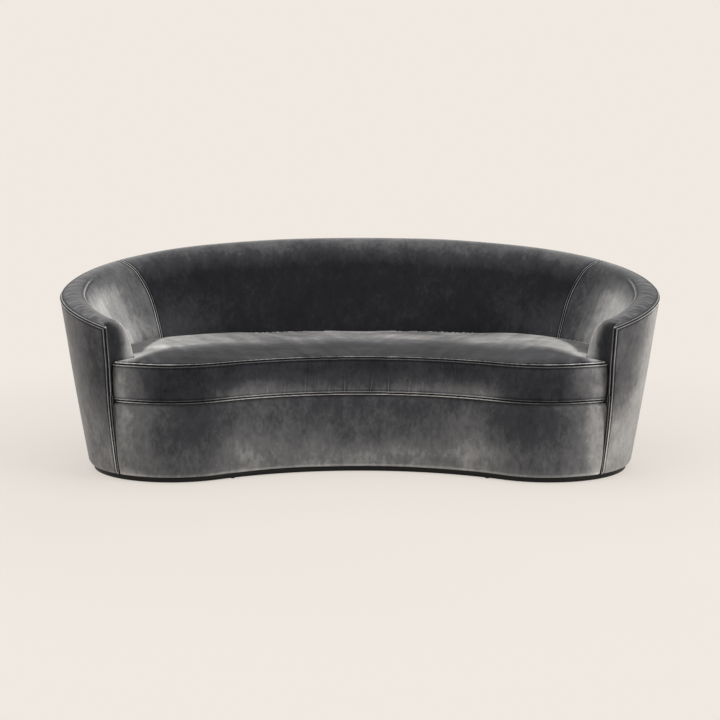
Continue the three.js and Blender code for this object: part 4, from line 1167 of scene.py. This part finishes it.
def distance_to_line(points, line):
    """Distance of each point from a closed line of points, and the nearest place on it."""
    tree = tree_of(line)
    nearest = np.array([tree.find(p)[1] for p in points])
    here = line[nearest]
    best = np.full(len(points), 1e9)
    for way in (-1, 1):
        step = np.roll(line, way, axis=0)[nearest] - here
        share = np.clip(((points - here) * step).sum(1) / np.maximum((step**2).sum(1), 1e-12), 0, 1)
        best = np.minimum(best, np.linalg.norm(points - here - step * share[:, None], axis=1))
    return best, nearest


CLOTH = {
    "quality": 5, "mass": 0.25, "tension_stiffness": 12, "compression_stiffness": 12, "shear_stiffness": 4,
    "bending_stiffness": 0.4, "use_pressure": True, "uniform_pressure_force": 4, "vertex_group_mass": "held",
}
CLOTH_FRAMES = 20
SEAM_HOLD = 0.007  # distance from the seams within which the case is held
FILL_LIMITS = (0.016, 0.009, 0.003)  # how far the filling may move the top, the front and the rest


def fill_cushion(piece, seams):
    """Cloth simulation: pressure fills the case, while its seams and underside are held."""
    rest = vertex_values(piece)
    held = from_seams(rest, seams)
    pins = [int(i) for i in np.flatnonzero((held < SEAM_HOLD) | (rest[:, 2] < LOWER_SEAM - 0.002))]
    piece.vertex_groups.new(name="held").add(pins, 1.0, "REPLACE")
    cloth = piece.modifiers.new("filling", "CLOTH")
    for name, value in CLOTH.items():
        setattr(cloth.settings, name, value)
    cloth.settings.effector_weights.gravity = 0
    cloth.point_cache.frame_start = 1
    cloth.point_cache.frame_end = CLOTH_FRAMES
    scene = bpy.context.scene
    for number in range(1, CLOTH_FRAMES + 1):
        scene.frame_set(number)
    apply_modifiers(piece)
    scene.frame_set(1)
    move = vertex_values(piece) - rest
    on_top = rest[:, 2] > SEAT_SEAM + 0.001
    at_front = rest[:, 1] < front_line_y(rest[:, 0]) + 0.03
    cap = np.select([on_top, at_front], FILL_LIMITS[:2], FILL_LIMITS[2])
    length = np.linalg.norm(move, axis=1)
    set_points(piece, rest + move * np.minimum(1, cap / np.maximum(length, 1e-9))[:, None])


def front_line_y(x):
    s = np.linspace(ARM_END, FRONT_MIDDLE, 200)
    line = at(s, CUSHION_PROUD, 0)
    return np.interp(-np.abs(x), -line[:, 0], line[:, 1])


def subdivide(piece, chosen, cuts):
    """Finer faces where a mask over the points says so."""
    with opened(piece) as mesh:
        mesh.verts.ensure_lookup_table()
        edges = [e for e in mesh.edges if chosen[e.verts[0].index] and chosen[e.verts[1].index]]
        bmesh.ops.subdivide_edges(mesh, edges=edges, cuts=cuts, use_grid_fill=True, smooth=0.0)


def smooth_mesh(piece, times):
    with opened(piece) as mesh:
        for _ in range(times):
            bmesh.ops.smooth_vert(
                mesh, verts=mesh.verts, factor=0.5, use_axis_x=True, use_axis_y=True, use_axis_z=True
            )


CREASES = (  # place across the front, share of the boxing it climbs, 1 from below or -1 from above, strength
    (-0.279, 0.45, 1, 0.35), (-0.202, 0.60, 1, 0.40), (-0.186, 0.55, -1, 0.40), (-0.115, 0.50, 1, 0.55),
    (-0.123, 0.45, -1, 0.45), (-0.092, 0.35, 1, 0.30), (-0.057, 0.55, 1, 0.95), (-0.010, 0.30, 1, 0.30),
    (0.038, 0.70, 1, 1.10), (0.046, 0.35, 1, 0.50), (0.104, 0.60, 1, 0.75), (0.150, 0.40, -1, 0.35),
    (0.177, 0.75, 1, 0.55), (0.229, 0.50, 1, 0.45), (0.300, 0.50, -1, 0.40), (0.341, 0.50, -1, 0.50),
    (0.390, 0.40, -1, 0.30), (-0.340, 0.40, 1, 0.30), (-0.390, 0.35, -1, 0.25),
)


def cushion_creases(points):
    """Upright creases on the boxing, where the hollow front makes the cover too long."""
    height = ramp(points[:, 2], LOWER_SEAM, SEAT_SEAM - LOWER_SEAM)
    relief = np.zeros(len(points))
    for x, reach, way, strength in CREASES:
        up = height if way > 0 else 1 - height
        left = strength * ramp(up, reach, -reach) * ramp(up, 0, 0.08)
        off = points[:, 0] - x - (0.010 + 0.008 * math.sin(41 * x)) * up
        relief += left * (0.0034 * bell(off, 0, 0.0022 + 0.0012 * up) - 0.0018 * bell(off, 0, 0.0085))
    return relief


def cushion_tone(points, normals):
    """Tone of the cushion: painted highlights at the ears' ends, a painted shadow on the seat beside each arm,
    dark along the boxing's upper half, streaked on top.
    """
    x, y, z = points.T
    across = np.abs(x)
    top = ramp(normals[:, 2], 0.35, 0.4)
    back = (y - front_line_y(x)) / 0.5
    rise = np.interp(across, (0.55, 0.70, 0.78, 0.84), (0.34, 0.32, 0.12, -0.12))
    seat = 0.32 + 0.20 * ramp(across, 0.60, 0.20)
    seat += 0.54 * ramp(back, rise, np.interp(across, (0.55, 0.70), (0.40, 0.18)))
    seat -= 0.10 * bell(across, 0.30, 0.14) * ramp(back, 0.3, 0.4)
    seat += 0.08 * drawn_noise(x / 0.10 + y / 0.12, y / 0.06, x / 0.2, 23)
    seat += 0.07 * drawn_noise((x - np.sign(x) * 0.35 * y) / 0.028, y / 0.20, x / 0.5, 24)
    # A painted shadow on the seat's far slope, in a strip beside each arm.
    strip_edge = np.interp(y, (-0.336, -0.199, -0.105, -0.018), (0.798, 0.783, 0.766, 0.745))
    beside_arm = ramp(across, strip_edge - 0.006, 0.012) * ramp(y, -0.375, 0.02)
    seat -= 0.36 * beside_arm * ramp(y, 0.06, -0.08)
    height = ramp(z, LOWER_SEAM, SEAT_SEAM - LOWER_SEAM)
    side = 0.36 + 0.38 * ramp(across, 0.56, -0.10) * ramp(height, 0.80, -0.80) ** 1.3
    side += 0.08 * bell(across, 0.40, 0.16) * ramp(height, 0.55, -0.3)
    # A painted highlight on the boxing at the ears' ends.
    side += 0.47 * ramp(across, 0.72, 0.13) - 0.05 * ramp(across, 0.15, -0.15)
    return side * (1 - top) + seat * top + 0.04 * soft_noise(points, 0.14, 21)


def from_seams(points, seams):
    return np.minimum(*(distance_to_line(points, seam)[0] for seam in seams))


def on_boxing(points, behind):
    """Points between the seams, less than a distance behind the cushion's front line."""
    between = (points[:, 2] > LOWER_SEAM) & (points[:, 2] < SEAT_SEAM)
    return between & (points[:, 1] < front_line_y(points[:, 0]) + behind)


def refine_cushion(piece, seams):
    """Finer faces beside the seams and on the boxing, in two steps."""
    points = vertex_values(piece)
    distance = from_seams(points, seams)
    subdivide(piece, (distance < 0.024) | on_boxing(points, 0.05) & (np.abs(points[:, 0]) < 0.48), 1)
    points = vertex_values(piece)
    near = (from_seams(points, seams) < 0.015) & (points[:, 1] < front_line_y(points[:, 0]) + 0.05)
    near |= on_boxing(points, 0.05) & (np.abs(points[:, 0]) < 0.46)
    subdivide(piece, near, 2)


def cushion_seams(points, seams):
    """Distance from the nearest seam, with the relief of its ridges and their painted highlights and painted
    shade.
    """
    found = []
    for seam, (above, below) in zip(seams, (LOWER_RIDGES, UPPER_RIDGES)):
        away, nearest = distance_to_line(points, seam)
        found.append((away, np.where(points[:, 2] > seam[nearest, 2], above, below)))
    (to_lower, beside_lower), (to_upper, beside_upper) = found
    distance = np.minimum(to_lower, to_upper)
    ridges = np.where(distance > 0.003, np.where(to_lower < to_upper, beside_lower, beside_upper), 1)
    relief, seam_painted_light = sewn(distance)
    return distance, relief * ridges, seam_painted_light * ridges


def add_cushion():
    points, faces, lower_ring, upper_ring = cushion_form()
    piece = make_object("seat_cushion", points, faces, CUSHION_VELVET)
    outward(piece)
    remesh(piece, CUSHION_VOXEL)
    seams = (dense_ring(lower_ring), dense_ring(upper_ring))
    fill_cushion(piece, seams)
    smooth_mesh(piece, 2)
    seams = [on_surface(piece, seam) for seam in seams]
    refine_cushion(piece, seams)
    points, normals = vertex_values(piece), vertex_values(piece, "normal")
    distance, relief, seam_painted_light = cushion_seams(points, seams)
    crease = np.where(on_boxing(points, 0.02), cushion_creases(points), 0)
    wave = waves(points, 0.0028, 0.15, 8, distance) * (points[:, 2] > LOWER_SEAM)
    set_points(piece, points + normals * (relief + crease + wave)[:, None])
    tone = cushion_tone(points, normals) + seam_painted_light + crease * CREASE_PAINTED_LIGHT
    attribute = piece.data.attributes.new("pile_and_painted_light", "FLOAT", "POINT")
    attribute.data.foreach_set("value", tone.astype(np.float32))
    if not piece.data.materials:
        piece.data.materials.append(CUSHION_VELVET)
    piece.data.polygons.foreach_set("use_smooth", np.ones(len(piece.data.polygons), bool))
    piece.data.update()
    settle(piece, "cushion", ("cushion_cover", "cushion_core"))
    return piece, seams


def on_surface(piece, ring):
    """The ring moved onto the piece's surface."""
    tree = surface_tree(piece)
    for _ in range(2):
        ring = np.array([tree.find_nearest(Vector(p))[0] for p in ring])
        around = np.concatenate([ring[-12:], ring, ring[:12]])
        ring = smoothed(around, 3)[12:-12]
    return ring


def add_zip(cushion):
    """The zip in the back of the cushion's cover: two tapes, the coil between them and its slider."""
    tree = surface_tree(cushion)
    height = 0.5 * (LOWER_SEAM + SEAT_SEAM)
    across = np.arange(-0.5 * ZIP_LENGTH, 0.5 * ZIP_LENGTH + 0.0001, 0.002)
    rise, raised = np.array(ZIP_SECTION).T
    grid = np.zeros((len(across), len(rise), 3))
    coil = np.abs(rise) < 0.002
    for i, x in enumerate(across):
        for j, off in enumerate(rise):
            place, normal, _, _ = tree.ray_cast(Vector((x, 1, height + off)), Vector((0, -1, 0)))
            tooth = 0.0007 * (i % 2) if coil[j] else 0
            grid[i, j] = np.array(place + normal * (raised[j] + tooth))
    ends = ramp(np.minimum(across - across[0], across[-1] - across), 0, 0.004)[:, None]
    grid[..., 1] -= 0.0008 * (1 - ends)
    points, faces = shell_parts(grid, (0, 1, 0), thickness=0.0006)
    settle(make_object("cushion_zip", points, faces, THREAD), "cushion")
    middle = grid[-6, len(rise) // 2]
    bpy.ops.mesh.primitive_cube_add(size=1, location=middle + (0, 0.0012, 0))
    slider = bpy.context.object
    slider.name = "cushion_zip_slider"
    slider.dimensions = (0.012, 0.0036, 0.0085)
    bpy.ops.object.transform_apply(location=False, rotation=False, scale=True)
    edges = slider.modifiers.new("edges", "BEVEL")
    edges.width = 0.0012
    edges.segments = 3
    apply_modifiers(slider)
    slider.data.materials.append(STEEL)
    settle(slider, "cushion")


def dense_ring(ring):
    closed = np.concatenate([ring, ring[:1]])
    return resampled(closed, np.linspace(0, 1, 2400)[:-1])


# Seat deck and dust cover
def level_grid(front_offset, back_offset, z, columns):
    """A level grid between the plan's front and its back, from one arm's end to the other's."""
    share = np.linspace(0, 1, columns)
    front = at(ARM_END + (2 * FRONT_MIDDLE - 2 * ARM_END) * share, front_offset, z)
    back = at(ARM_END - 2 * ARM_END * share, back_offset, z)
    across = np.linspace(0, 1, 40)[:, None, None]
    return front[None] * (1 - across) + back[None] * across


DECK_BACK = 0.0499  # from the wall's outer face to the pad's back edge, 10 mm below the pad's top
DUST_COVER_INSET = 0.0363


def add_deck():
    grid = level_grid(-BORDER_FOLD - 0.0006, outside(DECK - 0.010) - DECK_BACK, DECK, 70)
    across, share = (np.linspace(0, 1, count) for count in grid.shape[:2])
    edge = np.minimum(across, 1 - across)[:, None] * np.linalg.norm(grid[0] - grid[-1], axis=1)
    edge = np.minimum(edge, 0.9 * np.minimum(share, 1 - share) * 1.6)
    sag = -0.0045 * ramp(edge, 0, 0.22) + 0.0010 * soft_noise(grid, 0.08, 14)
    dip = -0.003 * np.exp(-edge / 0.004)
    parts = shell_parts(grid, (0, 0, 1), sag + dip - 0.0004, thickness=0.0045)
    shell("seat_deck_pad", [(*parts, 0.2 + 0 * edge)], ("deck_pad",), LINING)


def add_dust_cover():
    grid = level_grid(-DUST_COVER_INSET, -DUST_COVER_INSET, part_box("dust_cover")[0].z + 0.0006, 90)
    points, faces = shell_parts(grid, (0, 0, -1), 0.0004 * soft_noise(grid, 0.09, 15), thickness=0.0005)
    made = make_object("dust_cover_cloth", points, faces, LINING)
    settle(made, "sofa", ("dust_cover",))


# Stitches in the valleys beside the seams
def stitch_template():
    rings = ((-0.5, 0.1), (-0.3, 1.0), (0.3, 1.0), (0.5, 0.1))
    sides = 4
    angle = np.arange(sides) * 2 * math.pi / sides
    points = [
        (length, radius * math.cos(a), radius * math.sin(a)) for length, radius in rings for a in angle
    ]
    faces = [
        (k * sides + j, k * sides + (j + 1) % sides, (k + 1) * sides + (j + 1) % sides, (k + 1) * sides + j)
        for k in range(len(rings) - 1) for j in range(sides)
    ]
    return np.array(points), np.array(faces)


def add_stitches(name, lines, body):
    """Thread along lines, each given by its points and the surface's directions at them."""
    template, template_faces = stitch_template()
    points, faces = [], []
    for line, normals in lines:
        length = np.linalg.norm(np.diff(line, axis=0), axis=1).sum()
        count = int(length / STITCH_PITCH)
        shares = (np.arange(count + 1) + 0.5) / (count + 1)
        both = resampled(np.concatenate([line, normals * 1e-6], axis=1), shares)
        middles, ups = both[:, :3], unit(both[:, 3:])
        for here, after, up in zip(middles, middles[1:], ups):
            tangent = unit(after - here)
            across = np.cross(up, tangent)
            axes = np.stack([tangent * STITCH_LENGTH, across * STITCH_RADIUS, up * STITCH_RADIUS])
            faces.append(template_faces + len(template) * len(points))
            points.append(template @ axes + here + up * STITCH_RADIUS * 0.3)
    made = make_object(name, np.concatenate(points), np.concatenate(faces), THREAD)
    return settle(made, body)


def valley_lines(parts, shape, towards, sides, mirror=1):
    """The stitch lines of a sheet: its row or column in the valley beside each sewn side."""
    outer = parts[0][: shape[0] * shape[1]].reshape(*shape, 3) * (mirror, 1, 1)
    normals, _ = grid_normals(outer, (towards[0] * mirror, towards[1], towards[2]))
    row = SEAM_ROWS.index(STITCH_LINE)
    chosen = {
        "first": (row, slice(row, -row)),
        "last": (-row - 1, slice(row, -row)),
        "top": (slice(row, -row), -row - 1),
        "rim": (slice(row, -row), row),
    }
    return [(outer[chosen[side]], normals[chosen[side]]) for side in sides]


def ring_valleys(cushion, ring):
    """Stitch lines on both sides of a ring that lies on the cushion, along its visible front."""
    tree = surface_tree(cushion)
    lines = []
    ring = np.roll(ring, -int(np.argmax(ring[:, 1])), axis=0)
    ahead = np.roll(ring, -1, axis=0) - ring
    for side in (-1, 1):
        line, normals = [], []
        for here, step in zip(ring, ahead):
            if here[1] > front_line_y(here[0]) + 0.03 or np.linalg.norm(step) < 1e-7:
                continue
            _, up, _, _ = tree.find_nearest(Vector(here))
            across = Vector(step).cross(up).normalized()
            place, normal, _, _ = tree.find_nearest(Vector(here) + across * side * STITCH_LINE)
            line.append(np.array(place))
            normals.append(np.array(normal))
        lines.append((np.array(line[::2]), np.array(normals[::2])))
    return lines


def surface_tree(piece):
    faces = [tuple(f.vertices) for f in piece.data.polygons]
    return BVHTree.FromPolygons([tuple(p) for p in vertex_values(piece)], faces)


# Floor, lights and camera
BACKDROP = (0.871, 0.815, 0.753)  # the photograph's pale ground, in linear light
FLOOR_PAINT = (0.64, 0.60, 0.56)  # as light as the backdrop under the lamps
SHADOW_SHARE = 0.35
LAMPS = (  # name, place, height of the point it is turned to, size and power
    ("overhead", (0, -0.4, 3.4), 0, (3.4, 2.4), 55),
    ("front_left", (-3.4, -3.8, 2.2), 0.4, (2.2, 2.2), 60),
    ("front_right", (4.2, -3.0, 2.0), 0.4, (2.2, 2.2), 130),
    ("behind", (0, 3.6, 2.6), 0.5, (3.0, 1.6), 50),
)


def cleared(owner):
    """A new material or world, with an empty node tree."""
    owner.use_nodes = True
    owner.node_tree.nodes.clear()
    return owner


def seen_directly(material):
    """1 for rays that show the ground itself: from the camera, in a reflection or through glass."""
    path = node(material, "ShaderNodeLightPath")
    source, output = path, "Is Camera Ray"
    for ray in ("Is Glossy Ray", "Is Transmission Ray"):
        either = node(material, "ShaderNodeMath", operation="MAXIMUM")
        link(material, source, output, either, 0)
        link(material, path, ray, either, 1)
        source, output = either, 0
    return source


def mixed(owner, output_kind, share, first, second):
    """Gives a tree the mix of two shaders, by a share from 0 to 1."""
    mix = node(owner, "ShaderNodeMixShader")
    link(owner, share, 0, mix, "Fac")
    link(owner, first, 0, mix, 1)
    link(owner, second, 0, mix, 2)
    link(owner, mix, 0, node(owner, output_kind), "Surface")


def plain_ground():
    """A large pale floor that fades into the background and keeps the sofa's shadow."""
    bpy.ops.mesh.primitive_plane_add(size=60)
    floor = bpy.context.object
    floor.name = "floor"
    material = cleared(bpy.data.materials.new("floor"))
    diffuse = node(material, "ShaderNodeBsdfDiffuse", {"Color": (*FLOOR_PAINT, 1)})
    glow = node(material, "ShaderNodeEmission", {"Color": (*BACKDROP, 1), "Strength": 1})
    place = node(material, "ShaderNodeTexCoord")
    reach = node(material, "ShaderNodeVectorMath", operation="LENGTH")
    link(material, place, "Object", reach, 0)
    values = {"From Min": 1.2, "From Max": 2.7, "To Min": 1 - SHADOW_SHARE, "To Max": 1}
    fade = node(material, "ShaderNodeMapRange", values, interpolation_type="SMOOTHERSTEP")
    link(material, reach, "Value", fade, "Value")
    share = node(material, "ShaderNodeMath", operation="MULTIPLY")
    link(material, seen_directly(material), 0, share, 0)
    link(material, fade, "Result", share, 1)
    mixed(material, "ShaderNodeOutputMaterial", share, diffuse, glow)
    floor.data.materials.append(material)


def studio():
    world = cleared(bpy.data.worlds.new("studio"))
    bpy.context.scene.world = world
    ground = node(world, "ShaderNodeBackground", {"Color": (*BACKDROP, 1), "Strength": 1})
    light = node(world, "ShaderNodeBackground", {"Color": (1.0, 0.985, 0.965, 1), "Strength": 0.62})
    mixed(world, "ShaderNodeOutputWorld", seen_directly(world), light, ground)
    for name, place, aim, size, power in LAMPS:
        lamp = bpy.data.lights.new(name, "AREA")
        lamp.shape = "RECTANGLE"
        lamp.size, lamp.size_y = size
        lamp.energy = power
        made = bpy.data.objects.new(name, lamp)
        made.location = place
        made.rotation_euler = (Vector((0, 0, aim)) - Vector(place)).to_track_quat("-Z", "Y").to_euler()
        bpy.context.scene.collection.objects.link(made)


def add_camera():
    """The photograph's view: level with the middle of the sofa, from a long way off and a little above."""
    elevation = math.radians(9.5)
    distance = 7.3
    aim = Vector((0, -0.0585, 0.376))
    lens = bpy.data.cameras.new("camera")
    lens.lens = 95.1
    lens.sensor_width = 36
    made = bpy.data.objects.new("camera", lens)
    made.location = aim + distance * Vector((0, -math.cos(elevation), math.sin(elevation)))
    made.rotation_euler = (math.pi / 2 - elevation, 0, 0)
    bpy.context.scene.collection.objects.link(made)
    bpy.context.scene.camera = made
    bpy.context.scene.view_settings.view_transform = "Standard"


add_camera()
studio()
plain_ground()
dress_frame()
valleys = add_outside_panels()
valleys += add_inside_back()
valleys += add_inside_arms()
add_stitches("stitches_sofa", valleys, "sofa")
add_front_border()
add_plinth()
add_deck()
add_dust_cover()
seat, seat_seams = add_cushion()
add_zip(seat)
seat_valleys = [line for ring in seat_seams for line in ring_valleys(seat, ring)]
add_stitches("stitches_cushion", seat_valleys, "cushion")

bpy.context.view_layer.update()
